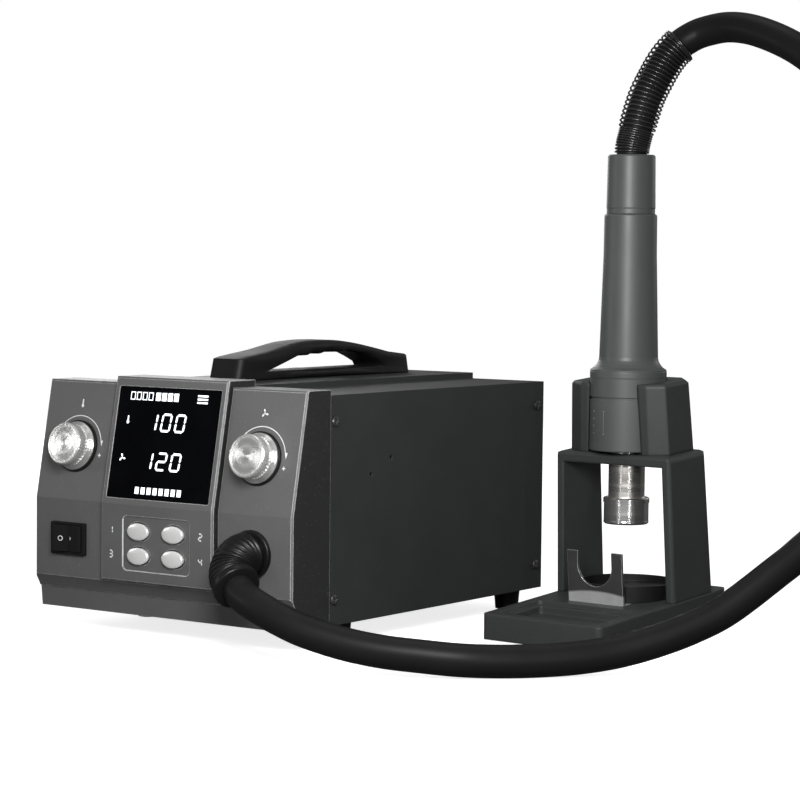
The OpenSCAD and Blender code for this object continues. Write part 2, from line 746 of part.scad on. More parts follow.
module rubber_feet() {
    color(c_black) at_station() for (p = feet) translate([p[0], p[1], -foot_h]) difference() {
        cylinder(r1 = foot_r2, r2 = foot_r, h = foot_h + case_z);
        translate([0, 0, -cut]) cylinder(r = 4, h = 5 + cut);
        cylinder(r = 2 + run, h = foot_h + 2 * case_z);
    }
}
module foot_screws() {
    color(c_steel) at_station() for (p = feet) translate([p[0], p[1], -foot_h]) {
        translate([0, 0, 3]) cylinder(r = 3.6, h = 2);
        translate([0, 0, 4]) cylinder(r = 2, h = foot_h);
    }
}

slot_n = 9;
slot_x = 20;
slot_pitch = 7;
slot_w = 3.4;
slot_z = 43;                            // lower end of the slots
slot_h = bezel_h - 26.5 - slot_z;
module rear_panel() {
    color(c_case) at_station() difference() {
        union() {
            translate([0, case_d - sheet_t, 0]) along(sheet_t)
                polygon(cover_section(sheet_t + fit, case_z + sheet_t + fit));
            for (s = [-1, 1]) translate([s * (inner_x - sheet_t / 2) - sheet_t / 2, case_d - rear_flange,
                case_z + sheet_t + fit]) cube([sheet_t, rear_flange - sheet_t / 2, cover_h - 4 * sheet_t]);
        }
        translate([inlet_x, case_d, inlet_z]) rotate([90, 0, 0]) {
            linear_extrude(4 * sheet_t, center = true)
                square([inlet_body_w + 2 * fit, inlet_body_h + 2 * fit], center = true);
            for (s = [-1, 1]) translate([s * inlet_pitch / 2, 0, 0]) cylinder(r = screw_r + run, h = 9, center = true);
        }
        for (i = [0 : slot_n - 1]) translate([slot_x + slot_pitch * i, case_d, slot_z + slot_h / 2])
            cube([slot_w, 4 * sheet_t, slot_h], center = true);
        for (s = [-1, 1], z = screw_z) translate([s * inner_x, case_d - rear_screw_in, z])
            rotate([0, 90, 0]) cylinder(r = screw_r + run, h = 9, center = true);
    }
}
module mains_inlet() {
    color(c_black) at_station() translate([inlet_x, case_d, inlet_z]) rotate([-90, 0, 0]) difference() {
        union() {
            plate(inlet_w, inlet_hh, inlet_t, 4);
            translate([0, 0, -inlet_deep]) plate(inlet_body_w, inlet_body_h, inlet_deep + cut, 1);
        }
        translate([0, 0, inlet_t - socket_deep]) plate(socket_w, socket_h, socket_deep + cut, 2);
        for (s = [-1, 1]) translate([s * inlet_pitch / 2, 0, -cut]) cylinder(r = screw_r + run, h = inlet_t + 2 * cut);
        for (x = [-7, 0, 7]) translate([x, x == 0 ? 2 : -2, -inlet_deep - cut])
            linear_extrude(inlet_deep) square([2 + fit, 4 + fit], center = true);
    }
}
module inlet_pins() {
    color(c_brass) at_station() translate([inlet_x, case_d, inlet_z]) rotate([-90, 0, 0])
        for (x = [-7, 0, 7]) translate([x, x == 0 ? 2 : -2, -inlet_deep - 5])
            linear_extrude(inlet_deep + 2) square([2, 4], center = true);
}
module inlet_screws() {
    color(c_steel) at_station() translate([inlet_x, case_d, inlet_z]) rotate([-90, 0, 0])
        for (s = [-1, 1]) translate([s * inlet_pitch / 2, 0, 0]) {
            translate([0, 0, -8]) cylinder(r = screw_r, h = 8 + inlet_t + 0.2);
            translate([0, 0, inlet_t]) cylinder(r1 = screw_head_r, r2 = screw_head_r - 0.6, h = 1.4);
            translate([0, 0, -sheet_t - 2.4 - fit]) difference() {
                cylinder(r = 3, h = 2.4, $fn = 6);
                translate([0, 0, -cut]) cylinder(r = screw_r - 0.1, h = 6);
            }
        }
}

// Handle side view in Y and Z, from the top of the raised band
hb = handle_l;
grip_low = [[0.17, 0.23], [0.27, 0.44], [0.345, 0.6], [0.4, 0.6], [0.42, 0.64], [0.475, 0.63], [0.495, 0.67],
    [0.56, 0.65], [0.58, 0.69], [0.635, 0.61], [0.65, 0.62], [0.69, 0.47], [0.74, 0.32], [0.75, 0.23]];
grip_high = [[1, 0], [0.985, 0.5], [0.97, 0.55], [0.875, 0.62], [0.78, 0.76], [0.67, 0.9], [0.56, 0.99],
    [0.43, 1], [0.33, 0.95], [0.2, 0.78], [0.12, 0.7], [0.05, 0.63], [0.02, 0.58], [0, 0]];
module carry_handle() {
    color(c_black) at_station() translate([0, handle_y, band_h]) difference() {
        across(handle_w) difference() {
            polygon([for (p = grip_high) [p[0] * handle_l, p[1] * handle_h]]);
            polygon(concat([for (p = grip_low) [p[0] * handle_l, max(p[1] * handle_h, bar_t)]]));
        }
        for (y = [wall_end / 2, handle_l - wall_end / 2]) translate([0, y, -cut]) cylinder(r = 2 + run, h = 9 + cut);
    }
}
module handle_screws() {
    color(c_steel) at_station() for (y = handle_holes) translate([0, y, band_h]) {
        translate([0, 0, -sheet_t - 2.4]) cylinder(r = 3.6, h = 2.4);
        translate([0, 0, -sheet_t - 1]) cylinder(r = 2, h = 8);
    }
}

// Inside the station
pcb_mid = [(pcb_x[0] + pcb_x[1]) / 2, (pcb_y[0] + pcb_y[1]) / 2];
pcb_size = [pcb_x[1] - pcb_x[0], pcb_y[1] - pcb_y[0]];
floor_z = case_z + sheet_t;
module board_standoffs() {
    color(c_brass) at_station() for (sx = [-1, 1], sy = [-1, 1])
        translate([pcb_mid[0] + sx * (pcb_size[0] / 2 - 5), pcb_mid[1] + sy * (pcb_size[1] / 2 - 5), floor_z])
        cylinder(r = 3, h = pcb_z - floor_z);
}
module main_board() {
    color(c_board) at_station() {
        translate([pcb_mid[0], pcb_mid[1], pcb_z]) plate(pcb_size[0], pcb_size[1], board_t, 2);
        for (i = [0 : 4]) translate([pcb_x[0] + 4, pcb_y[0] + 8 + terminal_pitch * i, pcb_z + board_t]) cube(terminal);
    }
}
module heat_sink() {
    color(c_alu) at_station() translate([pcb_x[1] - 26, pcb_y[0] + 18, pcb_z + board_t]) {
        cube([(fin_n - 1) * fin_pitch + 2, fin[1], sink_base]);
        for (i = [0 : fin_n - 1]) translate([i * fin_pitch, 0, 0]) cube(fin);
    }
}
module capacitors() {
    color(c_black) at_station() for (i = [0 : 2])
        translate([pcb_mid[0] - 20, pcb_y[0] + 22 + cap_pitch * i, pcb_z + board_t]) cylinder(r = cap_r, h = cap_h);
}
module power_transformer() {
    window_z = trafo_foot[2] + (trafo_core[2] - trafo_window_h) / 2;
    color(c_steel) at_station() translate([trafo_x, case_d - trafo_back, floor_z]) {
        translate([-trafo_foot[0] / 2, -trafo_foot[1] / 2, 0]) cube(trafo_foot);
        difference() {
            translate([-trafo_core[0] / 2, -trafo_core[1] / 2, trafo_foot[2]]) cube(trafo_core);
            for (s = [-1, 1]) translate([s * trafo_core[0] / 4 - trafo_limb / 2, -trafo_core[1] / 2 - 1, window_z])
                cube([trafo_limb, trafo_core[1] + 2, trafo_window_h]);
        }
        translate([-trafo_wind[0] / 2, -trafo_wind[1] / 2, window_z - 2]) cube(trafo_wind);
        for (s = [-1, 1]) translate([-trafo_wind[0] / 2, s * (trafo_core[1] / 2 + 2) - trafo_limb / 2, window_z])
            cube([trafo_wind[0], trafo_limb, trafo_window_h]);
    }
}
duct_z = blow_z - blow_r;
module blower_housing() {
    color(c_black) at_station() difference() {
        translate([blow_x, blow_y, blow_z]) rotate([0, 90, 0]) {
            cylinder(r = blow_r, h = blow_w, center = true);
            translate([blow_r - duct_h, -blow_r - duct_l, -blow_w / 2]) cube([duct_h, blow_r + duct_l, blow_w]);
        }
        translate([blow_x - blow_t, blow_y, blow_z]) rotate([0, 90, 0]) {
            cylinder(r = blow_r - blow_t, h = blow_w, center = true);
            translate([blow_r - duct_h + blow_t, -blow_r - duct_l + blow_t, -blow_w / 2])
                cube([duct_h - 2 * blow_t, blow_r + duct_l - blow_t, blow_w]);
        }
        translate([blow_x, blow_y - blow_r - duct_l, gland_z]) rotate([90, 0, 0]) cylinder(r = gland_bore + 3, h = 9, center = true);
    }
}
module blower_lid() {
    color(c_black) at_station() translate([blow_x - blow_w / 2 - blow_t - fit, blow_y, blow_z]) rotate([0, 90, 0]) difference() {
        union() {
            cylinder(r = blow_r, h = blow_t);
            translate([blow_r - duct_h, -blow_r - duct_l, 0]) cube([duct_h, blow_r + duct_l, blow_t]);
        }
        translate([0, 0, -cut]) cylinder(r = eye_r, h = blow_t + 2 * cut);
    }
}
motor_x = blow_x + blow_w / 2 - blow_t;
module blower_motor() {
    color(c_steel) at_station() translate([motor_x, blow_y, blow_z]) rotate([0, -90, 0]) difference() {
        cylinder(r = motor_r, h = motor_l);
        translate([0, 0, motor_l - 8]) cylinder(r = 1.5 + run, h = 8 + cut);
    }
}
module blower_impeller() {
    hub_in = motor_r + 0.8;
    cap_z = motor_l - 3;
    color(c_grey) at_station() translate([motor_x - 4, blow_y, blow_z]) rotate([0, -90, 0]) {
        turned([[0, cap_z - 7], [1.5, cap_z - 7], [1.5, cap_z], [hub_in, cap_z], [hub_in, 0], [imp_r, 0],
            [imp_r, 1.5], [imp_hub, 1.5], [imp_hub, imp_w], [hub_in, imp_w], [hub_in, cap_z + 2], [0, cap_z + 2]]);
        for (i = [0 : blade_n - 1]) rotate([0, 0, 360 * i / blade_n]) translate([imp_hub - 0.7, -0.6, 0.7])
            cube([imp_r - imp_hub, 1.2, imp_w - 1.7]);
    }
}
module blower_bracket() {
    color(c_steel) at_station() {
        for (y = [blow_y - 30, blow_y + 30]) difference() {
            translate([blow_x - blow_w / 2 + 6, y - leg_t / 2, floor_z]) cube([blow_w - 12, leg_t, blow_z - floor_z - 20]);
            translate([blow_x, blow_y, blow_z]) rotate([0, 90, 0]) {
                cylinder(r = blow_r + fit, h = blow_w, center = true);
                translate([blow_r - duct_h, -blow_r - duct_l, -blow_w / 2]) cube([duct_h + fit, blow_r + duct_l, blow_w]);
            }
        }
        translate([blow_x - blow_w / 2 + 6, blow_y - 30, floor_z]) cube([blow_w - 12, 60, leg_t]);
    }
}
module air_duct() {
    y1 = blow_y - blow_r - duct_l;
    y0 = gland_y + spigot_l - 8;
    color(c_black) at_station() translate([gland_x, y1, gland_z]) rotate([90, 0, 0]) difference() {
        cylinder(r = duct_r, h = y1 - y0);
        translate([0, 0, -cut]) cylinder(r = spigot_r + fit, h = y1 - y0 + 2 * cut);
    }
}

// Air hose: route points from the gland, over the floor, up in a loop and down into the handset
hose_from = [gland_end[0] - org_x, gland_end[1] - org_y, gland_end[2] + foot_h];
hose_to = [stand_x - org_x, stand_y - org_y, sleeve_top];
// leave starts at the gland, lie counts from the middle of the seam line on the floor, rise ends in the handset
leave = [[0, 0, 0], [6.4, -3.1, -3.6], [15.5, -6, -6.4], [26, -8, -9.6], [36, -9, -12.6]];
lie = [[129, -69.3, 22], [153, -68, 17.6], [173, -61, 14.4], [189, -48.5, 11.9], [204.5, -35, 9.8], [220, -21, 9],
    [234.5, -6, 8.95], [248, 10.8, 9.8], [261, 28.2, 12.2], [275, 43.8, 17.2], [289.3, 58, 24.4], [302.7, 72, 34],
    [320.3, 92.5, 53]];
rise = [[142.3, -62, -214], [158.7, -41.5, -191.6], [171, -25.7, -162.5], [177, -12.8, -128], [176.7, -2.8, -90.7],
    [171, 5, -50.4], [160.4, 9.9, -15.4], [143.7, 12.7, 14.9], [122, 14.1, 39], [97.8, 16.5, 57], [70.7, 22.5, 68.7],
    [48.4, 27.5, 73.2], [31, 28.2, 71.4], [21.9, 25.6, 67.5], [15.6, 21.5, 61.7], [11.2, 16.8, 53.7], [7.8, 11.8, 43.6],
    [5.2, 7.6, 34.5], [3, 3.9, 22.6], [1.1, 1.2, 10.5], [0.1, 0.1, 4], [0, 0, 0]];
hose_route = concat([for (p = leave) hose_from + p], [for (p = lie) [p[0] - org_x, p[1] - org_y, p[2]]],
    [for (p = rise) hose_to + p]);
function spline(p, q, r, s, t) = 0.5 * ((2 * q) + (r - p) * t + (2 * p - 5 * q + 4 * r - s) * t * t
    + (3 * q - p - 3 * r + s) * t * t * t);
function smooth(pts, n) = concat([for (i = [0 : len(pts) - 2]) for (k = [0 : n - 1])
    spline(pts[max(i - 1, 0)], pts[i], pts[i + 1], pts[min(i + 2, len(pts) - 1)], k / n)], [pts[len(pts) - 1]]);
function unit(v) = v / norm(v);
function heading(p, i) = unit(p[min(i + 1, len(p) - 1)] - p[max(i - 1, 0)]);
// Carries a cross vector along the path without twist
function carry(p, i, v) = let (h = heading(p, i)) unit(v - h * (v * h));
function crosses(p, i, v) = i == len(p) ? [] : let (w = carry(p, i, v)) concat([w], crosses(p, i + 1, w));
module sweep(pts, r, n, first, h0, h1) {
    c = crosses(pts, 0, first);
    m = len(pts);
    verts = [for (i = [0 : m - 1]) let (h = i == 0 ? h0 : i == m - 1 ? h1 : heading(pts, i),
        u = unit(c[i] - h * (c[i] * h)), v = cross(h, u))
        for (k = [0 : n - 1]) pts[i] + r * (u * cos(360 * k / n) + v * sin(360 * k / n))];
    polyhedron(verts, concat([[for (k = [0 : n - 1]) k]],
        [for (i = [0 : m - 2], k = [0 : n - 1]) let (a = i * n + k, b = i * n + (k + 1) % n) [a, a + n, b + n, b]],
        [[for (k = [n - 1 : -1 : 0]) (m - 1) * n + k]]));
}
hose_path = smooth(hose_route, 2);
module air_hose() {
    color(c_black) sweep(hose_path, hose_r, hose_sides, [1, 0, 0], head_2, [0, 0, -1]);
}

// Spring guard: a tight part on the handset, an open part up the hose, and a closed ring at its end
guard_turns = [10, 15, 1.5];
guard_len = [13, 60, 3];
guard_seg = 14;
guard_up = 0.5;        // clear of the sleeve's top, because the hose leans a little there
guard_pts = [for (i = [len(hose_path) - 1 : -1 : 0]) hose_path[i]];
function arc_at(p, i, s) = i >= len(p) - 1 ? p[len(p) - 1] : let (d = norm(p[i + 1] - p[i]))
    s <= d ? p[i] + (p[i + 1] - p[i]) * s / d : arc_at(p, i + 1, s - d);
guard_total = guard_turns[0] + guard_turns[1] + guard_turns[2];
function guard_s(t) = t < guard_turns[0] ? guard_len[0] * t / guard_turns[0]
    : t < guard_turns[0] + guard_turns[1] ? guard_len[0] + guard_len[1] * (t - guard_turns[0]) / guard_turns[1]
    : guard_len[0] + guard_len[1] + guard_len[2] * (t - guard_turns[0] - guard_turns[1]) / guard_turns[2];
guard_n = ceil(guard_total * guard_seg);
guard_mid = [for (i = [0 : guard_n]) arc_at(guard_pts, 0, guard_s(guard_total * i / guard_n) + wire_d / 2 + guard_up)];
guard_in = [for (i = [0 : guard_n]) arc_at(guard_pts, 0, guard_s(guard_total * i / guard_n) + wire_d / 2 + guard_up + 2)];
guard_cross = crosses(guard_in, 0, [1, 0, 0]);
guard_wire = [for (i = [0 : guard_n]) let (a = 360 * guard_total * i / guard_n,
    h = unit(guard_in[i] - guard_mid[i]), u = unit(guard_cross[i] - h * (guard_cross[i] * h)), v = cross(h, u))
    guard_mid[i] + guard_r * (u * cos(a) + v * sin(a))];
module spring_guard() {
    color(c_black) sweep(guard_wire, wire_d / 2, 5, [0, 0, 1], unit(guard_wire[1] - guard_wire[0]),
        unit(guard_wire[guard_n] - guard_wire[guard_n - 1]));
}

// Handset
module turned(p) { rotate_extrude() polygon(p); }
module handset_sleeve() {
    color(c_grip) at_stand() difference() {
        turned([[0, grip_top - 8], [grip_r2 - shell2 - fit, grip_top - 8], [grip_r2 - shell2 - fit, grip_top + fit],
            [grip_r2 - 1.3, grip_top + fit], [grip_r2 - 1.3, sleeve_z], [sleeve_r, sleeve_z + 0.6],
            [sleeve_r - 0.4, sleeve_top - 0.8], [sleeve_r - 1.2, sleeve_top], [0, sleeve_top]]);
        translate([0, 0, grip_top - 8 - cut]) cylinder(r = gland_bore, h = sleeve_top);
    }
}
module handset_grip() {
    f = 7.8;
    color(c_grip) at_stand() difference() {
        turned([[0, grip_z], [barrel_r, grip_z], [barrel_r, grip_z + 0.6], [grip_r1 + 2.6, grip_z + 2.2],
            [grip_r1 + 1.1, grip_z + 4.2], [grip_r1 + 0.3, grip_z + 6], [grip_r1, grip_z + f],
            [grip_r2 + 0.15, grip_top - 24], [grip_r2, grip_top - 0.8], [grip_r2 - 0.8, grip_top], [0, grip_top]]);
        turned([[0, grip_z - cut], [grip_r1 - shell2, grip_z - cut], [grip_r1 - shell2, grip_z + f],
            [grip_r2 - shell2, grip_top - 24], [grip_r2 - shell2, grip_top + cut], [0, grip_top + cut]]);
    }
}
module barrel_upper() {
    color(c_grip) at_stand() turned([[barrel_r - 3, groove_z + groove_l], [barrel_r, groove_z + groove_l],
        [barrel_r, ring_z], [barrel_r + 0.15, ring_z + 0.6], [barrel_r + 0.15, grip_z - 0.6], [barrel_r, grip_z],
        [grip_r1 - shell2, grip_z], [grip_r1 - shell2, ring_z], [barrel_r - 3, ring_z]]);
}
module barrel_lower() {
    color(c_grip) at_stand() difference() {
        turned([[tube_r + run, barrel_z], [barrel_r - 0.6, barrel_z], [barrel_r, barrel_z + 0.6], [barrel_r, groove_z],
            [barrel_r - groove_in, groove_z], [barrel_r - groove_in, groove_z + groove_l],
            [barrel_r - 3, groove_z + groove_l], [barrel_r - 3, barrel_z + 3], [tube_r + run, barrel_z + 3]]);
    }
}
module nozzle_tube() {
    color(c_steel) at_stand() {
        translate([0, 0, tube_z]) tube(tube_r, tube_r - tube_t, tube_top - tube_z);
        translate([0, 0, tube_top - 2]) tube(barrel_r - 3 - fit, tube_r - tube_t, 2);
    }
}
module nozzle() {
    z = nozzle_z;
    t = nozzle_z + nozzle_l;
    color(c_steel) at_stand() turned([[tube_r - 3, z], [nozzle_r - 1, z], [nozzle_r - 0.3, z + 0.8], [nozzle_r - 0.3, z + 1.6],
        [nozzle_r - 0.4, z + 2], [nozzle_r - 0.4, t - 3.2], [nozzle_r, t - 3], [nozzle_r, t - 0.6], [nozzle_r - 0.6, t],
        [tube_r + run, t], [tube_r + run, tube_z - 0.02], [tube_r - 3, tube_z - 0.02]]);
}
module heater_former() {
    color(c_white) at_stand() difference() {
        union() {
            translate([0, 0, tube_z + 5]) cylinder(r = former_r, h = tube_top - tube_z - 5);
            translate([0, 0, tube_top]) cylinder(r = tube_r + 3, h = 3);
        }
        for (a = [0 : 60 : 300]) rotate([0, 0, a]) translate([4, 0, tube_z]) cylinder(r = 1.4, h = tube_top, $fn = 24);
    }
}
module heater_coil() {
    color(c_steel) at_stand() for (i = [0 : 7]) translate([0, 0, tube_z + 10 + 4 * i])
        tube(former_r + 1.2, former_r + run, 1.4);
}
module handset_board() {
    color(c_board) at_stand() {
        translate([-9, -0.8, grip_z + 6]) cube([18, 1.6, 40]);
        translate([0, 0, grip_z + 5]) tube(grip_r1 - shell2 - fit, 9, 2);
    }
}

// Stand
module wedge(dz) {
    across(2 * base_w) polygon([[-base_front - cut, -cut], [base_back + cut, -cut],
        [base_back + cut, base_h2 + cut * tan(tilt) - dz], [-base_front - cut, base_h1 - cut * tan(tilt) - dz]]);
}
module plan(w, y0, y1, r) { translate([0, (y0 + y1) / 2, -cut]) plate(w, y1 - y0, 60, r); }
stand_pts = [for (sx = [-1, 1], y = [-base_front + 12, base_back - 12]) [sx * (base_w / 2 - 12), y]];
arch_screw = [1.2, 2.2];                // shank and head radius
arch_pts = [for (sx = [-1, 1], y = [2, 20]) [sx * (arch_wl / 2 - post_t / 2 - 0.8), y]];
module stand_base() {
    tray_y0 = -base_front + tray_rim;
    tray_y1 = fork_y - tray_gap;
    color(c_case) at_stand() difference() {
        intersection() {
            translate([0, 0, cut + pad_proud]) plan(base_w, -base_front, base_back, base_r);
            wedge(0);
        }
        // stepped tray
        difference() { plan(base_w - 2 * tray_rim, tray_y0, tray_y1, 3); wedge(tray_step); }
        difference() { plan(base_w - 2 * tray_rim - 8, tray_y0 + 4, tray_y1 - 4, 2); wedge(tray_deep); }
        // seat of the bracket plate
        difference() {
            plan(fork_w + 2 * fit, fork_y - fit, fork_y + plate_back + 3 * fit, 1);
            wedge(fork_t / cos(tilt) + run);
        }
        at_slope() for (s = [-1, 1]) translate([s * cup_screw[0], cup_screw[1], -2 * tray_deep])
            cylinder(r = screw_r + run, h = 3 * tray_deep);
        // hollow underside, with bosses for the pads and the screws
        difference() {
            intersection() {
                translate([0, 0, -cut]) plan(base_w - 8, -base_front + 4, base_back - 4, 2);
                wedge(tray_deep + tray_floor);
            }
            for (p = stand_pts) translate([p[0], p[1], -2 * cut]) cylinder(r = 9, h = 60);
            for (p = arch_pts) translate([p[0], p[1], -2 * cut]) cylinder(r = 5, h = 60);
        }
        for (p = stand_pts) translate([p[0], p[1], -cut]) cylinder(r = 6 + fit, h = cut + pad_proud + 1);
        for (p = arch_pts) translate([p[0], p[1], -cut]) {
            cylinder(r = arch_screw[0] + run, h = 60);
            cylinder(r = arch_screw[1] + 0.2, h = cut + 6);
        }
    }
}
module stand_pads() {
    color(c_black) at_stand() for (p = stand_pts) translate([p[0], p[1], 0]) cylinder(r = 6, h = pad_proud + 1);
}
// Bevel cutter along an upright outer edge of the arch, from p at its foot
module arch_edge(s, p, dy) {
    translate([p[0], p[1], 0]) rotate([-atan(dy / arch_h), -s * atan((arch_wl - arch_w) / 2 / arch_h), 0])
        rotate([0, 0, 45]) cube([arch_bevel * sqrt(2), arch_bevel * sqrt(2), 3 * arch_h], center = true);
}
module stand_arch() {
    top = arch_h;
    color(c_case) at_stand() difference() {
        at_slope() difference() {
            intersection() {
                across(2 * arch_wl) polygon([[-arch_f[0], 0], [arch_b[0], 0], [arch_b[1], top - arch_bevel],
                    [arch_b[1] - arch_bevel, top], [-arch_f[1] + arch_bevel, top], [-arch_f[1], top - arch_bevel]]);
                translate([0, base_w, 0]) rotate([90, 0, 0]) linear_extrude(2 * base_w)
                    polygon([[-arch_wl / 2, 0], [arch_wl / 2, 0], [arch_w / 2, top - 2 * arch_bevel],
                        [arch_w / 2 - 0.6 * arch_bevel, top - 0.6 * arch_bevel], [arch_w / 2 - 2 * arch_bevel, top],
                        [-arch_w / 2 + 2 * arch_bevel, top], [-arch_w / 2 + 0.6 * arch_bevel, top - 0.6 * arch_bevel],
                        [-arch_w / 2, top - 2 * arch_bevel]]);
            }
            for (s = [-1, 1]) {
                arch_edge(s, [s * arch_wl / 2, -arch_f[0]], arch_f[0] - arch_f[1]);
                arch_edge(s, [s * arch_wl / 2, arch_b[0]], arch_b[1] - arch_b[0]);
            }
            translate([0, base_w, 0]) rotate([90, 0, 0]) linear_extrude(2 * base_w)
                polygon([[-arch_wl / 2 + post_t, -cut], [arch_wl / 2 - post_t, -cut],
                    [arch_w / 2 - post_t, top - arch_top_t], [-arch_w / 2 + post_t, top - arch_top_t]]);
        }
        cylinder(r = hole_r, h = 2 * arch_h);
        translate([0, 0, barrel_z]) cylinder(r = bore_r, h = arch_h);
        for (p = arch_pts) translate([p[0], p[1], 0]) cylinder(r = arch_screw[0] + run, h = base_top0 + 12);
    }
}
module stand_screws() {
    color(c_steel) at_stand() for (p = arch_pts) translate([p[0], p[1], 0]) {
        translate([0, 0, 4]) cylinder(r = arch_screw[1], h = 2);
        translate([0, 0, 5]) cylinder(r = arch_screw[0], h = base_top0 + 5);
    }
}
module cradle_plan(w) {
    polygon([[-cradle_strip, -cradle_front], [cradle_strip, -cradle_front], [w, -cradle_front + cradle_cut],
        [w, cradle_back - 2 * cradle_cut], [cradle_strip, cradle_back], [-cradle_strip, cradle_back],
        [-w, cradle_back - 2 * cradle_cut], [-w, -cradle_front + cradle_cut]]);
}
module stand_cradle() {
    narrow = (cradle_w - cradle_slope / 2) / (cradle_w + cradle_slope / 2);
    color(c_case) at_stand() difference() {
        at_slope() translate([0, cradle_y, arch_h]) {
            linear_extrude(cradle_h - arch_bevel, scale = narrow) cradle_plan(cradle_w + cradle_slope / 2);
            translate([0, 0, cradle_h - arch_bevel]) linear_extrude(arch_bevel, scale = 0.955) scale([narrow, narrow])
                cradle_plan(cradle_w + cradle_slope / 2);
        }
        translate([0, 0, base_top0]) cylinder(r = bore_r, h = 2 * arch_h);
    }
}
module nozzle_cup() {
    color(c_black) at_stand() difference() {
        translate([0, cup_y, 0]) cylinder(r = cup_r, h = cup_z, $fn = 64);
        wedge(0);
        difference() {
            translate([0, cup_y, 0]) cylinder(r = cup_r - cup_t, h = cup_z + cut, $fn = 64);
            wedge(-cup_t);
        }
        at_slope() for (s = [-1, 1]) translate([s * cup_screw[0], cup_screw[1], -cut])
            cylinder(r = screw_r + run, h = cup_t + 2 * cut);
    }
}
module nozzle_bracket() {
    color(c_steel) at_stand() at_slope() {
        difference() {
            translate([-fork_w / 2, fork_y, -fork_t]) cube([fork_w, plate_back, fork_t]);
            for (s = [-1, 1]) translate([s * cup_screw[0], cup_screw[1], -fork_t - cut])
                cylinder(r = screw_r + run, h = fork_t + 2 * cut);
        }
        difference() {
            translate([-fork_w / 2, fork_y, -fork_t]) cube([fork_w, fork_t, fork_h + fork_t]);
            translate([0, fork_y - cut, fork_mid]) rotate([-90, 0, 0]) cylinder(r = fork_r, h = fork_t + 2 * cut);
            translate([-fork_r, fork_y - cut, fork_mid]) cube([2 * fork_r, fork_t + 2 * cut, fork_h]);
        }
    }
}
module bracket_screws() {
    color(c_steel) at_stand() at_slope() for (s = [-1, 1]) translate([s * cup_screw[0], cup_screw[1], cup_t]) {
        cylinder(r1 = screw_head_r, r2 = screw_head_r - 0.6, h = 1.4);
        translate([0, 0, -cup_t - seat_screw_l]) cylinder(r = screw_r, h = cup_t + seat_screw_l + 0.2);
    }
}

front_bezel();
center_fascia();
display_window();
display_module();
display_board();
button_board();
channel_button(-1, 1);  // channel_button_1
channel_button(1, 1);  // channel_button_2
channel_button(-1, -1);  // channel_button_3
channel_button(1, -1);  // channel_button_4
knob(-knob_x);  // temp_knob
knob(knob_x);  // air_knob
knob_rings();
knob_encoders();
encoder_nuts();
switch_body();
power_rocker();
hose_gland();
gland_nut();
top_cover();
cover_screws();
bottom_chassis();
rear_panel();
mains_inlet();
inlet_pins();
inlet_screws();
rubber_feet();
foot_screws();
carry_handle();
handle_screws();
main_board();
board_standoffs();
power_transformer();
heat_sink();
capacitors();
blower_housing();
blower_lid();
blower_motor();
blower_impeller();
blower_bracket();
air_duct();
air_hose();
spring_guard();
handset_sleeve();
handset_grip();
barrel_upper();
barrel_lower();
nozzle_tube();
nozzle();
heater_former();
heater_coil();
handset_board();
stand_base();
stand_arch();
stand_cradle();
nozzle_cup();
nozzle_bracket();
bracket_screws();
stand_screws();
stand_pads();
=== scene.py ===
"""Hot air rework station: camera, hose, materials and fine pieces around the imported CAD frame.

Lengths are in metres, and in millimetres where a value is multiplied by MM or given to a function on a face.
"""
import math

import bmesh
import bpy
from mathutils import Matrix, Vector


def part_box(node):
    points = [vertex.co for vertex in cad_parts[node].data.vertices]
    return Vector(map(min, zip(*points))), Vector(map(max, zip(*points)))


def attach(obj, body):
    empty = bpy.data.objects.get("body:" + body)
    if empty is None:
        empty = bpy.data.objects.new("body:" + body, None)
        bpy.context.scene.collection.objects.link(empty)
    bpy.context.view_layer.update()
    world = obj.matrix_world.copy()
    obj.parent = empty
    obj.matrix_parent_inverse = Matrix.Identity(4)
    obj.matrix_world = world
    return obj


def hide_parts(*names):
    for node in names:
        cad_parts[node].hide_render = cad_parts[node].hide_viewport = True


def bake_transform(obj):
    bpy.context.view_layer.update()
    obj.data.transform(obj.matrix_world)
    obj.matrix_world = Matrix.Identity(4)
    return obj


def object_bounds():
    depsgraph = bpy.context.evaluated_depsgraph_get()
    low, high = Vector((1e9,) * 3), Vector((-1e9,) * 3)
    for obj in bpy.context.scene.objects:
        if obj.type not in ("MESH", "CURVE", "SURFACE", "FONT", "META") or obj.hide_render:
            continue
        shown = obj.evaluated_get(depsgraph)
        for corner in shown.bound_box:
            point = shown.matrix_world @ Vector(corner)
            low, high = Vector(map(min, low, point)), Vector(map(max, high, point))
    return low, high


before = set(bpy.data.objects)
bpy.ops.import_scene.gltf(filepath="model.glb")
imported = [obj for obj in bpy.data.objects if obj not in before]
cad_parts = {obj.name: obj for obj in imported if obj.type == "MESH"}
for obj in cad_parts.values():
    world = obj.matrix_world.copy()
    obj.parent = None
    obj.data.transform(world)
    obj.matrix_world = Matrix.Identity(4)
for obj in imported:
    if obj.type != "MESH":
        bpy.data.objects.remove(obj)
cad_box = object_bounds()
scene = bpy.context.scene
MM = 0.001

# Driving places, all from the frame

COVER_LOW, COVER_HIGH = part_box("top_cover")
BEZEL_LOW, BEZEL_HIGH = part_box("front_bezel")
SLEEVE_LOW, SLEEVE_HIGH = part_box("handset_sleeve")
# The station's own corner: middle of the width, seam behind the bezel, underside of the bezel
STATION = Vector(((COVER_LOW[0] + COVER_HIGH[0]) / 2, COVER_LOW[1], BEZEL_LOW[2]))
HANDSET_X = (SLEEVE_LOW[0] + SLEEVE_HIGH[0]) / 2
HANDSET_Y = (SLEEVE_LOW[1] + SLEEVE_HIGH[1]) / 2
HANDSET_TOP = Vector((HANDSET_X, HANDSET_Y, SLEEVE_HIGH[2]))


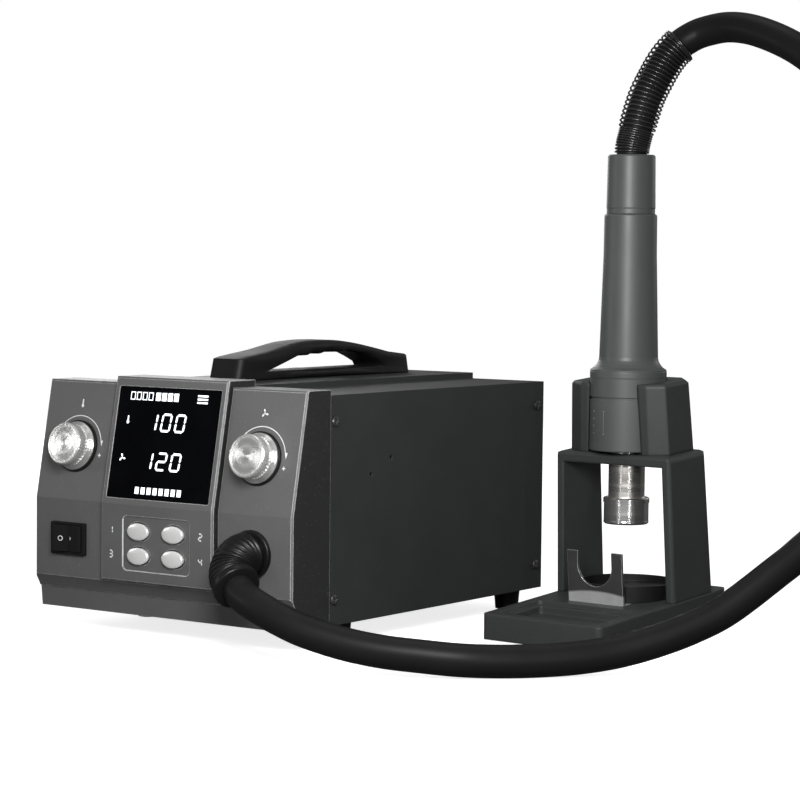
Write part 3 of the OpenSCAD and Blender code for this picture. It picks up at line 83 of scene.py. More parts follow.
def station(x, y, z):
    """A point given in millimetres from the station's own corner."""
    return STATION + Vector((x, y, z)) * MM


# Camera

CAMERA_PLACE = station(932.6, -1124.4, 207.1)
CAMERA_AZIMUTH = math.radians(35.085)
CAMERA_DOWN = math.radians(3.584)
CAMERA_ROLL = math.radians(0.602)
CAMERA_LENS = 115.43
CAMERA_SHIFT = (-0.00497, 0.01622)


def make_camera():
    data = bpy.data.cameras.new("camera")
    data.lens = CAMERA_LENS
    data.sensor_width = 36
    data.shift_x, data.shift_y = CAMERA_SHIFT
    data.clip_end = 20
    camera = bpy.data.objects.new("camera", data)
    scene.collection.objects.link(camera)
    turn = (Matrix.Rotation(CAMERA_AZIMUTH, 4, "Z") @ Matrix.Rotation(math.pi / 2 - CAMERA_DOWN, 4, "X")
            @ Matrix.Rotation(CAMERA_ROLL, 4, "Z"))
    camera.matrix_world = Matrix.Translation(CAMERA_PLACE) @ turn
    scene.camera = camera


make_camera()


# Small tools

SHARP_FROM = math.radians(35)


def link_mesh(name, bm, smooth=True):
    mesh = bpy.data.meshes.new(name)
    bmesh.ops.recalc_face_normals(bm, faces=bm.faces)
    bm.to_mesh(mesh)
    bm.free()
    for face in mesh.polygons:
        face.use_smooth = smooth
    piece = bpy.data.objects.new(name, mesh)
    scene.collection.objects.link(piece)
    return piece


def wear(piece, material):
    piece.data.materials.clear()
    piece.data.materials.append(material)
    return piece


def spline_point(p, q, r, s, t):
    return 0.5 * ((2 * q) + (r - p) * t + (2 * p - 5 * q + 4 * r - s) * t * t
                  + (3 * q - p - 3 * r + s) * t * t * t)


def smooth_line(points, steps):
    """Points on one smooth curve through the given points."""
    line = []
    last = len(points) - 1
    for i in range(last):
        for k in range(steps):
            line.append(spline_point(points[max(i - 1, 0)], points[i], points[i + 1],
                                     points[min(i + 2, last)], k / steps))
    line.append(points[last].copy())
    return line


def frames_along(line, side):
    """Heading and two cross vectors at each point, carried along without twist."""
    frames = []
    cross = Vector(side)
    for i, place in enumerate(line):
        heading = (line[min(i + 1, len(line) - 1)] - line[max(i - 1, 0)]).normalized()
        cross = (cross - heading * cross.dot(heading)).normalized()
        frames.append((place, heading, cross, heading.cross(cross)))
    return frames


def join_rings(bm, rings, closed=False):
    """Faces between neighbouring rings of corners, and between the last and the first of a closed row."""
    for low, high in zip(rings, rings[1:] + (rings[:1] if closed else [])):
        for k in range(len(low)):
            n = (k + 1) % len(low)
            bm.faces.new((low[k], low[n], high[n], high[k]))


def round_angles(sides):
    return [2 * math.pi * k / sides for k in range(sides)]


def tube_along(name, line, radius, sides, side=(1, 0, 0), radii=None):
    """A closed round tube along a line, of one radius or of one radius for each point."""
    bm = bmesh.new()
    rings = []
    for i, (place, heading, u, v) in enumerate(frames_along(line, side)):
        r = radius if radii is None else radii[i]
        rings.append([bm.verts.new(place + r * (u * math.cos(a) + v * math.sin(a)))
                      for a in round_angles(sides)])
    join_rings(bm, rings)
    bm.faces.new(list(reversed(rings[0])))
    bm.faces.new(rings[-1])
    return link_mesh(name, bm)


def turned_piece(name, foot, axis, profile, sides):
    """A closed profile of radius and height, in millimetres, turned about an axis through foot."""
    bm = bmesh.new()
    u = axis.orthogonal().normalized()
    v = axis.cross(u)
    rings = []
    for radius, height in profile:
        rings.append([bm.verts.new(foot + (axis * height + (u * math.cos(a) + v * math.sin(a)) * radius) * MM)
                      for a in round_angles(sides)])
    join_rings(bm, rings, closed=True)
    piece = link_mesh(name, bm)
    piece.data.set_sharp_from_angle(angle=SHARP_FROM)
    return piece


# Air hose, close to the route of its solid

HOSE_DIAMETER = 17.5 * MM
BOOT_END = station(77.53, -60.0, 26.83)
FLOOR = station(0, 0, -12)
# Points where the hose leaves the gland, lies on the floor, and rises and turns down to the handset
HOSE_LEAVE = [(0, 0, 0), (6.4, -3.1, -3.6), (15.5, -6, -6.4), (25.5, -7.2, -9.8), (34.8, -7.4, -12.9)]
HOSE_LIE = [(126.6, -66.2, 21.4), (147.7, -60.8, 16.2), (167.8, -53.8, 13), (186.8, -45.2, 11.3),
            (204.5, -35, 9.8), (220, -21, 9), (234.5, -6, 9), (249, 9.1, 10.1), (263, 24.8, 12.8),
            (277.4, 39.5, 17.9), (291.4, 54.1, 25), (304.5, 68.5, 34.5), (321.6, 89.8, 53.4)]
HOSE_RISE = [(143.4, -64.2, -213.7), (159.4, -42.8, -191.4), (171, -25.7, -162.5), (177, -12.8, -128),
             (176.7, -2.8, -90.7), (171, 5, -50.4), (160.4, 9.9, -15.4), (143.7, 12.7, 14.9), (122, 14.1, 39),
             (97.8, 16.5, 57), (70.7, 22.5, 68.7), (48.4, 27.5, 73.2), (31, 28.2, 71.4), (21.9, 25.6, 67.5),
             (15.6, 21.5, 61.7), (11.2, 16.8, 53.7), (7.8, 11.8, 43.6), (5.2, 7.6, 34.5), (3, 3.9, 22.6),
             (1.1, 1.2, 10.5), (0.1, 0.1, 4), (0, 0, 0)]
HOSE_ROUTE = ([BOOT_END + Vector(p) * MM for p in HOSE_LEAVE] + [FLOOR + Vector(p) * MM for p in HOSE_LIE]
              + [HANDSET_TOP + Vector(p) * MM for p in HOSE_RISE])
HOSE_STEPS, HOSE_SIDES = 8, 32


def make_hose():
    line = smooth_line(HOSE_ROUTE, HOSE_STEPS)
    hose = tube_along("air_hose_skin", line, HOSE_DIAMETER / 2, HOSE_SIDES)
    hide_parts("air_hose")
    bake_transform(hose)
    return hose, line


hose, hose_line = make_hose()


# Spring guard that keeps the hose from kinking above the handset

WIRE = 1.15 * MM
WIRE_SIDES = 8
GUARD_RADIUS = HOSE_DIAMETER / 2 + 0.3 * MM + WIRE / 2
# Turns, length and widening of the tight part, the open part and the closed end ring, which stays wide
GUARD_PARTS = [(10, 13 * MM, 0), (21, 55 * MM, 1.0 * MM), (2.5, 2.8 * MM, 0)]
# Share of the widening that each step along the wire takes up
WIDENING_STEP = 0.08
STEPS_PER_TURN = 20
GUARD_UP = 0.5 * MM


def points_by_length(line, lengths):
    """Places at the given lengths along a line."""
    places, i, run = [], 0, 0.0
    for wanted in lengths:
        while i < len(line) - 2 and run + (line[i + 1] - line[i]).length < wanted:
            run += (line[i + 1] - line[i]).length
            i += 1
        step = line[i + 1] - line[i]
        places.append(line[i] + step * ((wanted - run) / step.length))
    return places


def make_spring_guard():
    lengths, turns, radii, start, turned, wide = [], [], [], WIRE / 2 + GUARD_UP, 0.0, 0.0
    for count, reach, wider in GUARD_PARTS:
        steps = int(count * STEPS_PER_TURN)
        for k in range(steps):
            lengths.append(start + reach * k / steps)
            turns.append(turned + count * k / steps)
            wide += (wider - wide) * (WIDENING_STEP if wider else 0.0)
            radii.append(GUARD_RADIUS + wide)
        start += reach
        turned += count
    middle = points_by_length(list(reversed(hose_line)), lengths)
    wire = []
    for (place, heading, u, v), turn, radius in zip(frames_along(middle, (1, 0, 0)), turns, radii):
        a = 2 * math.pi * turn
        wire.append(place + radius * (u * math.cos(a) + v * math.sin(a)))
    guard = tube_along("spring_guard_wire", wire, WIRE / 2, WIRE_SIDES, side=(0, 0, 1))
    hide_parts("spring_guard")
    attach(guard, "handset")
    return guard


spring_guard = make_spring_guard()


# Ribbed gland that turns the hose down and to the side

GLAND_X, GLAND_FACE_Y, GLAND_Z = 66.6, -34, 42
GLAND_START = station(GLAND_X, -40, GLAND_Z)
BEND_RADIUS = 15 * MM
BEND_STEP = 0.3 * MM
FIRST_BEND, FIRST_SIDE = math.radians(50), math.radians(10)
SECOND_BEND, SECOND_SIDE = math.radians(46), math.radians(84)
BOOT_VALLEY, BOOT_RIB, BOOT_COLLAR = 10.7 * MM, 12.5 * MM, 13 * MM
RIB_COUNT, RIB_FULLNESS = 11, 0.55
COLLAR_LENGTH = 5 * MM
COLLAR_EDGE = 0.9 * MM
COLLAR_STEPS = (0, 0.4, 0.9, 1.4, 2.5, 3.6, 4.4, 4.8, 5)
BOOT_SIDES, FLANGE_SIDES = 56, 64
# Radius and height of the flange's section, whose bore holds the boot
FLANGE_PROFILE = [(8.4, -20), (8.4, 0), (12.9, 0), (13.4, 0.5), (13.4, 2.3), (13.2, 2.7), (12.7, 3),
                  (11.2, 3.1), (9, 3.1), (9, -20)]


def round_bend(place, heading, turn_to, angle):
    """Where a bend that starts at a place has come to after an angle."""
    return place + BEND_RADIUS * (heading * math.sin(angle) + turn_to * (1 - math.cos(angle)))


def gland_line():
    """Middle line of the gland from its flange to its collar, with the length from the first bend."""
    ahead = Vector((0, -1, 0))
    down = Vector((math.sin(FIRST_SIDE), 0, -math.cos(FIRST_SIDE)))
    across = Vector((math.cos(FIRST_SIDE), 0, math.sin(FIRST_SIDE)))
    under = down * math.cos(FIRST_BEND) - ahead * math.sin(FIRST_BEND)
    aside = across * math.sin(SECOND_SIDE) + under * math.cos(SECOND_SIDE)
    line = [(GLAND_START - ahead * s, -s) for s in (4 * MM, 2 * MM)]
    place, heading, run = GLAND_START.copy(), ahead, 0.0
    for bend, turn_to in ((FIRST_BEND, down), (SECOND_BEND, aside)):
        count = round(bend * BEND_RADIUS / BEND_STEP)
        for k in range(count):
            a = bend * k / count
            line.append((round_bend(place, heading, turn_to, a), run + BEND_RADIUS * a))
        place = round_bend(place, heading, turn_to, bend)
        heading = heading * math.cos(bend) + turn_to * math.sin(bend)
        run += BEND_RADIUS * bend
    for s in COLLAR_STEPS:
        line.append((place + heading * s * MM, run + s * MM))
    return line, run


def rib_radius(s, bent):
    """Rounded ribs with sharp valleys between them, then the plain collar."""
    if s < 0:
        return BOOT_VALLEY
    if s < bent:
        wave = abs(math.sin(math.pi * RIB_COUNT * s / bent))
        return BOOT_VALLEY + (BOOT_RIB - BOOT_VALLEY) * wave ** RIB_FULLNESS
    edge = min(s - bent, bent + COLLAR_LENGTH - s)
    return BOOT_COLLAR - COLLAR_EDGE * (1 - min(edge / COLLAR_EDGE, 1)) ** 2


def make_gland():
    line, bent = gland_line()
    places = [p for p, s in line]
    radii = [rib_radius(s, bent) for p, s in line]
    boot = tube_along("gland_boot", places, 0, BOOT_SIDES, radii=radii)
    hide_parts("hose_gland")
    flange = turned_piece("gland_flange", station(GLAND_X, GLAND_FACE_Y, GLAND_Z), Vector((0, -1, 0)),
                          FLANGE_PROFILE, FLANGE_SIDES)
    for piece in (boot, flange):
        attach(piece, "station")
    return boot, flange


gland_boot, gland_flange = make_gland()


# Carrying handle with rounded edges, on the outline of its solid

HANDLE_LOW, HANDLE_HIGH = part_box("carry_handle")
# Side view, in shares of the handle's length and height: ends, arch between them, and the finger opening
HANDLE_REAR = [(1, 0), (0.985, 0.5), (0.97, 0.55)]
HANDLE_ARCH = [(0.875, 0.62), (0.78, 0.76), (0.67, 0.9), (0.56, 0.99), (0.43, 1), (0.33, 0.95), (0.2, 0.78),
               (0.12, 0.7)]
HANDLE_FRONT = [(0.05, 0.63), (0.02, 0.58), (0, 0)]
HANDLE_GRIP = [(0.17, 0.23), (0.27, 0.44), (0.345, 0.6), (0.4, 0.6), (0.42, 0.64), (0.475, 0.63),
               (0.495, 0.67), (0.57, 0.66), (0.6, 0.69), (0.675, 0.62), (0.7, 0.62), (0.755, 0.48),
               (0.805, 0.33), (0.815, 0.23)]
HANDLE_MIDDLE = (0.46, 0.4)
HANDLE_FOOT_SHARE = 4.6 / 22
HANDLE_CORNER = 5 * MM
HANDLE_RAYS, RAY_GAP = 60, 0.004
HANDLE_SHARP_FROM = math.radians(38)


def outline_at(outline, middle, angle):
    """Where a ray from the middle meets a closed outline."""
    ray = (math.cos(angle), math.sin(angle))
    best = None
    for (ax, ay), (bx, by) in zip(outline, outline[1:] + outline[:1]):
        ex, ey = bx - ax, by - ay
        cross = ray[0] * ey - ray[1] * ex
        if abs(cross) < 1e-12:
            continue
        far = ((ax - middle[0]) * ey - (ay - middle[1]) * ex) / cross
        along = ((ax - middle[0]) * ray[1] - (ay - middle[1]) * ray[0]) / cross
        if far > 0 and -1e-6 <= along <= 1 + 1e-6 and (best is None or far < best):
            best = far
    return middle[0] + ray[0] * best, middle[1] + ray[1] * best


# Share of a bar's thickness that its corner radius may reach, just under a half
LARGEST_CORNER = 0.48


def rounded_section(wide, thick, corner, steps=5):
    """Cross section of a bar with round corners: across from its middle, and up from its inner face."""
    corner = min(corner, LARGEST_CORNER * thick)
    points = []
    for turn, (a, b) in enumerate(((wide / 2 - corner, thick - corner), (corner - wide / 2, thick - corner),
                                   (corner - wide / 2, corner), (wide / 2 - corner, corner))):
        for k in range(steps + 1):
            angle = math.pi / 2 * (turn + k / steps)
            points.append((a + corner * math.cos(angle), b + corner * math.sin(angle)))
    return points


def make_handle():
    """Sections on rays from the middle of the opening, joined all round."""
    long, high = HANDLE_HIGH[1] - HANDLE_LOW[1], HANDLE_HIGH[2] - HANDLE_LOW[2]
    wide, middle_x = HANDLE_HIGH[0] - HANDLE_LOW[0], (HANDLE_HIGH[0] + HANDLE_LOW[0]) / 2
    arch = [Vector((x * long, y * high, 0)) for x, y in HANDLE_ARCH]
    outer = ([(x * long, y * high) for x, y in HANDLE_REAR] + [(p.x, p.y) for p in smooth_line(arch, 5)]
             + [(x * long, y * high) for x, y in HANDLE_FRONT])
    inner = [(x * long, max(y, HANDLE_FOOT_SHARE) * high) for x, y in HANDLE_GRIP]
    middle = (HANDLE_MIDDLE[0] * long, HANDLE_MIDDLE[1] * high)
    angles = sorted({round(math.atan2(y - middle[1], x - middle[0]), 4) for x, y in outer + inner}
                    | {round(-math.pi + 2 * math.pi * k / HANDLE_RAYS, 4) for k in range(HANDLE_RAYS)})
    angles = [a for i, a in enumerate(angles) if i == 0 or a - angles[i - 1] > RAY_GAP]
    bm = bmesh.new()
    rings = []
    for angle in angles:
        near, far = outline_at(inner, middle, angle), outline_at(outer, middle, angle)
        thick = math.dist(near, far)
        ring = []
        for across, up in rounded_section(wide, thick, HANDLE_CORNER):
            y, z = (near[i] + (far[i] - near[i]) * up / thick for i in (0, 1))
            ring.append(bm.verts.new((middle_x + across, HANDLE_LOW[1] + y, HANDLE_LOW[2] + z)))
        rings.append(ring)
    join_rings(bm, rings, closed=True)
    handle = link_mesh("handle_shell", bm)
    handle.data.set_sharp_from_angle(angle=HANDLE_SHARP_FROM)
    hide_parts("carry_handle")
    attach(handle, "station")
    return handle


handle_shell = make_handle()


# Panel faces: x across, u up the leaning face or z up the upright one, out towards the user

LOW_DEPTH, TOP_DEPTH, KINK, BEZEL_TOP = 34, 21, 63.5, 131.5
LEAN = math.atan2(LOW_DEPTH - TOP_DEPTH, BEZEL_TOP - KINK)
PANEL_NORMAL = Vector((0, -math.cos(LEAN), math.sin(LEAN)))
FASCIA_OUT, WINDOW_OUT = 3, 2.7
PRINT_HALF = 0.04


def on_lean(x, u, out=0.0):
    return station(x, -LOW_DEPTH + u * math.sin(LEAN), KINK + u * math.cos(LEAN)) + PANEL_NORMAL * out * MM


def on_front(x, z, out=0.0):
    return station(x, -LOW_DEPTH - out, z)


def print_marks(name, outlines, face, out, body="station"):
    """Thin flat marks, given as outlines in millimetres, laid on a face."""
    bm = bmesh.new()
    for outline in outlines:
        top = [bm.verts.new(face(x, y, out + PRINT_HALF)) for x, y in outline]
        low = [bm.verts.new(face(x, y, out - PRINT_HALF)) for x, y in outline]
        bm.faces.new(top)
        bm.faces.new(list(reversed(low)))
        for i in range(len(top)):
            j = (i + 1) % len(top)
            bm.faces.new((top[i], low[i], low[j], top[j]))
    piece = link_mesh(name, bm, smooth=False)
    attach(piece, body)
    return piece


def bar_across(x0, x1, y, t):
    """Level bar of a figure, with pointed ends."""
    return [(x0, y), (x0 + t / 2, y + t / 2), (x1 - t / 2, y + t / 2), (x1, y), (x1 - t / 2, y - t / 2),
            (x0 + t / 2, y - t / 2)]


def bar_up(x, y0, y1, t):
    """Upright bar of a figure, with pointed ends."""
    return [(x, y0), (x - t / 2, y0 + t / 2), (x - t / 2, y1 - t / 2), (x, y1), (x + t / 2, y1 - t / 2),
            (x + t / 2, y0 + t / 2)]


SEGMENTS_OF = {0: "abcdef", 1: "bc", 2: "abged", 3: "abgcd", 4: "fgbc"}
# Gap between a figure's bars, as a share of their thickness
SEGMENT_GAP = 0.12


def digit(number, x, y, wide, high, t, slant=0.0):
    """Seven-segment figure with its lower left corner at x, y."""
    gap = t * SEGMENT_GAP
    left, right, low, mid, top = t / 2, wide - t / 2, t / 2, high / 2, high - t / 2
    bars = {"a": bar_across(left + gap, right - gap, top, t),
            "g": bar_across(left + gap, right - gap, mid, t),
            "d": bar_across(left + gap, right - gap, low, t),
            "f": bar_up(left, mid + gap, top - gap, t),
            "b": bar_up(right, mid + gap, top - gap, t),
            "e": bar_up(left, low + gap, mid - gap, t),
            "c": bar_up(right, low + gap, mid - gap, t)}
    return [[(x + px + slant * py, y + py) for px, py in bars[s]] for s in SEGMENTS_OF[number]]


def box_mark(x, y, wide, high):
    return [(x - wide / 2, y - high / 2), (x + wide / 2, y - high / 2), (x + wide / 2, y + high / 2),
            (x - wide / 2, y + high / 2)]


def frame_mark(x, y, wide, high, t):
    up, aside = (high - t) / 2, (wide - t) / 2
    return [box_mark(x, y + up, wide, t), box_mark(x, y - up, wide, t),
            box_mark(x - aside, y, t, high - 2 * t), box_mark(x + aside, y, t, high - 2 * t)]


def round_mark(x, y, r, n=20):
    return [(x + r * math.cos(a), y + r * math.sin(a)) for a in round_angles(n)]


def ring_mark(x, y, r, t, first=0.0, last=360.0, n=40):
    """Arc strip from one angle to another, in degrees, as short pieces."""
    pieces = []
    for k in range(n):
        a0, a1 = (math.radians(first + (last - first) * q / n) for q in (k, k + 1))
        pieces.append([(x + q * math.cos(a), y + q * math.sin(a))
                       for q, a in ((r - t / 2, a0), (r + t / 2, a0), (r + t / 2, a1), (r - t / 2, a1))])
    return pieces


def thermometer(x, y, high):
    """Generic heat symbol: a bulb under a stem."""
    r = high * 0.2
    return [round_mark(x, y - high / 2 + r, r), box_mark(x, y + r * 0.9, r * 0.95, high - 2 * r)]


# Fan symbol, in shares of its height: hub, and each blade's middle, half length, half width and lean
HUB = 0.11
BLADE_AT, BLADE_HALF, BLADE_WIDE, BLADE_LEAN = 0.31, 0.18, 0.12, 0.25


def fan(x, y, high):
    """Generic air symbol: three blades round a hub."""
    marks = [round_mark(x, y, high * HUB, 12)]
    for turn in (90, 210, 330):
        a = math.radians(turn)
        blade = []
        for b in round_angles(16):
            p, q = high * (BLADE_AT + BLADE_HALF * math.cos(b)), high * BLADE_WIDE * math.sin(b)
            q += p * BLADE_LEAN
            blade.append((x + p * math.cos(a) - q * math.sin(a), y + p * math.sin(a) + q * math.cos(a)))
        marks.append(blade)
    return marks


def plus_mark(x, y, s, t):
    s, t = s / 2, t / 2
    corners = [(t, t), (t, s), (-t, s), (-t, t), (-s, t), (-s, -t), (-t, -t), (-t, -s), (t, -s), (t, -t),
               (s, -t), (s, t)]
    return [(x + a, y + b) for a, b in corners]


# Display: two rows of three figures, small symbols and a plain level row

DIGIT_LEFT, DIGIT_PITCH, DIGIT_SIZE, DIGIT_STROKE, DIGIT_SLANT = -14.8, 10.2, (7.4, 10.6), 1.25, 0.11
# Middle height and figures of each row
DISPLAY_ROWS = [(47.1, (1, 0, 0)), (25.1, (1, 2, 0))]
# Symbols beside the rows: x, u, height
HEAT_SYMBOL, AIR_SYMBOL = (-28.6, 47.9, 4.6), (-29.4, 26.1, 4.8)
# Boxes of the top row, open and filled, and of the level row: first middle, u, size
OPEN_BOXES, FILLED_BOXES, TOP_BOX = (-27, 61.6), (-8.4, 61.6), (3.4, 4.6)
LEVEL_BOXES, LEVEL_BOX = (-15.6, 8.1), (2.9, 3.9)
BOX_PITCH, BOX_STROKE = 4.4, 0.5
# Three short bars at the top right: middle, pitch, size
MENU_BARS, MENU_PITCH, MENU_BAR = (24, 61.3), 1.9, (7.4, 1)


def make_display():
    marks = []
    for middle, numbers in DISPLAY_ROWS:
        for i, number in enumerate(numbers):
            marks += digit(number, DIGIT_LEFT + DIGIT_PITCH * i, middle - DIGIT_SIZE[1] / 2, *DIGIT_SIZE,
                           DIGIT_STROKE, DIGIT_SLANT)
    marks += thermometer(*HEAT_SYMBOL) + fan(*AIR_SYMBOL)
    for i in range(4):
        marks += frame_mark(OPEN_BOXES[0] + BOX_PITCH * i, OPEN_BOXES[1], *TOP_BOX, BOX_STROKE)
        marks.append(box_mark(FILLED_BOXES[0] + BOX_PITCH * i, FILLED_BOXES[1], *TOP_BOX))
    marks += [box_mark(MENU_BARS[0], MENU_BARS[1] + MENU_PITCH * k, *MENU_BAR) for k in (-1, 0, 1)]
    marks += [box_mark(LEVEL_BOXES[0] + BOX_PITCH * i, LEVEL_BOXES[1], *LEVEL_BOX) for i in range(8)]
    lit = print_marks("display_figures", marks, on_lean, WINDOW_OUT)
    return lit


display_figures = make_display()


# Domed caps of the four buttons

BUTTON_X, BUTTON_ROWS = 12.65, (48.9, 35.1)
# How far the cap's hidden rim, the lip and the crown stand out of the panel
BUTTON_RIM, BUTTON_LIP, BUTTON_TOP = 1.4, 4.1, 4.8
BUTTON_HALF = (7.65, 4.85)
DOME_FOOT, DOME_SHARE, DOME_RINGS = BUTTON_LIP + 0.08, 0.95, 7
BUTTON_SIDES = 40


def make_button(number, x, z):
    bm = bmesh.new()
    # Height out of the panel and share of the outline's size, from the hidden rim to the dome
    steps = [(BUTTON_RIM, 1), (BUTTON_LIP - 0.35, 1), (BUTTON_LIP - 0.1, 0.985), (DOME_FOOT, DOME_SHARE)]
    rise = BUTTON_TOP - DOME_FOOT
    steps += [(DOME_FOOT + rise * (1 - (k / DOME_RINGS) ** 2), DOME_SHARE * k / DOME_RINGS)
              for k in range(DOME_RINGS - 1, 0, -1)]
    rings = []
    for out, share in steps:
        wide, high = share * BUTTON_HALF[0], share * BUTTON_HALF[1]
        rings.append([bm.verts.new(on_front(x + wide * math.cos(a), z + high * math.sin(a), out))
                      for a in round_angles(BUTTON_SIDES)])
    join_rings(bm, rings)
    crown = bm.verts.new(on_front(x, z, BUTTON_TOP))
    for k in range(BUTTON_SIDES):
        bm.faces.new((rings[-1][k], rings[-1][(k + 1) % BUTTON_SIDES], crown))
    bm.faces.new(list(reversed(rings[0])))
    cap = link_mesh(f"button_cap_{number}", bm)
    body = f"channel_button_{number}"
    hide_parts(body)
    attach(cap, body)
    return cap


button_caps = [make_button(2 * row + column + 1, side * BUTTON_X, z)
               for row, z in enumerate(BUTTON_ROWS) for column, side in enumerate((-1, 1))]


# White print on the panels and the rocker

KNOB_X, KNOB_U = GLAND_X, 31
# Arc over each knob, in degrees, with an arrow tip at its end and a plus sign below that
ARC_RADIUS, ARC_STROKE, ARC_FROM, ARC_TO = 17.7, 0.55, 135, 12
TIP_ANGLE, TIP_PLACE, TIP_CORNERS = math.radians(9.5), (0.5, -2.2), ((0.85, 3.4), (-1.05, 3.2))
PLUS_PLACE, PLUS_SIZE, PLUS_STROKE = (17.4, -4.5), 2.3, 0.6
LABEL_U, LABEL_HIGH = 56, 5
BUTTON_LABEL_X = (-33, 32.3)
PAD_EDGE, PAD_LINE, PAD_STROKE = 24.2, 27, 0.7
FIGURE_WIDE, FIGURE_HIGH, FIGURE_STROKE = 3, 4.6, 0.85


def make_panel_print():
    marks = []
    for side in (-1, 1):
        x = side * KNOB_X
        marks += ring_mark(x, KNOB_U, ARC_RADIUS, ARC_STROKE, ARC_FROM, ARC_TO)
        tip = (x + ARC_RADIUS * math.cos(TIP_ANGLE) + TIP_PLACE[0],
               KNOB_U + ARC_RADIUS * math.sin(TIP_ANGLE) + TIP_PLACE[1])
        marks.append([tip] + [(tip[0] + aside, tip[1] + up) for aside, up in TIP_CORNERS])
        marks.append(plus_mark(x + PLUS_PLACE[0], KNOB_U + PLUS_PLACE[1], PLUS_SIZE, PLUS_STROKE))
    marks += thermometer(-KNOB_X, LABEL_U, LABEL_HIGH) + fan(KNOB_X, LABEL_U, LABEL_HIGH)
    return marks


def make_button_print():
    marks = []
    for i in range(4):
        x = BUTTON_LABEL_X[i % 2] - FIGURE_WIDE / 2
        y = BUTTON_ROWS[i // 2] - FIGURE_HIGH / 2
        marks += digit(i + 1, x, y, FIGURE_WIDE, FIGURE_HIGH, FIGURE_STROKE)
    marks.append(box_mark(-PAD_EDGE, sum(BUTTON_ROWS) / 2, PAD_STROKE, PAD_LINE))
    return marks


panel_print = print_marks("panel_print", make_panel_print(), on_lean, 0)
button_print = print_marks("button_print", make_button_print(), on_front, FASCIA_OUT)

ROCKER_PLACE, ROCKER_PIVOT, ROCKER_TILT = (-67, 41.2), 0.5, math.radians(7)
# How far the rocker's middle stands out of its pivot, and how its two faces rise from there
ROCKER_MIDDLE, ROCKER_RISE = 2, 0.18


def on_rocker(x, y, out=0.0):
    """A point on the rocker's two sloping faces, as it stands at rest."""
    high = ROCKER_MIDDLE + ROCKER_RISE * abs(x) + out
    aside = x * math.cos(ROCKER_TILT) + high * math.sin(ROCKER_TILT)
    ahead = high * math.cos(ROCKER_TILT) - x * math.sin(ROCKER_TILT)
    return on_front(ROCKER_PLACE[0] + aside, ROCKER_PLACE[1] + y, ROCKER_PIVOT + ahead)


ROCKER_MARKS = ring_mark(-4.4, 0, 1.3, 0.5, n=24) + [box_mark(2.2, 0, 0.55, 1.7)]
rocker_print = print_marks("rocker_print", ROCKER_MARKS, on_rocker, 0, "power_rocker")

BARREL_LOW, BARREL_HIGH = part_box("barrel_lower")
BARREL_RADIUS = (BARREL_HIGH[0] - BARREL_LOW[0]) / 2 / MM


def on_barrel(x, down, out=0.0):
    """A point on the handset's barrel: x along its round from the front, down from its upper edge."""
    angle = x / BARREL_RADIUS
    reach = (BARREL_RADIUS + out) * MM
    return Vector((HANDSET_X + reach * math.sin(angle), HANDSET_Y - reach * math.cos(angle),
                   BARREL_HIGH[2] - down * MM))


# A gauge line with two end strokes, and a row of four blocks beside it
GAUGE_X, GAUGE_MIDDLE, GAUGE_LONG, GAUGE_END = -3.4, 14.6, 13.4, 6.6
BLOCK_X, BLOCK_DOWN, BLOCK_PITCH, BLOCK_SIZE = -12.2, 8.2, 4.2, (1.3, 1.1)
GAUGE_MARKS = [box_mark(GAUGE_X, GAUGE_MIDDLE, 0.35, GAUGE_LONG)]
GAUGE_MARKS += [box_mark(GAUGE_X, GAUGE_MIDDLE + end * GAUGE_END, 1.6, 0.4) for end in (-1, 1)]
GAUGE_MARKS += [box_mark(BLOCK_X, BLOCK_DOWN + BLOCK_PITCH * k, *BLOCK_SIZE) for k in range(4)]
barrel_print = print_marks("barrel_print", GAUGE_MARKS, on_barrel, 0, "handset")


# Node groups that several finishes share

# Widths in metres, noise scales in cells per metre
EDGE_WIDTH, THIN_EDGE = 0.0006, 0.0004
PAINT_GRAIN, METAL_GRAIN = 1800.0, 900.0


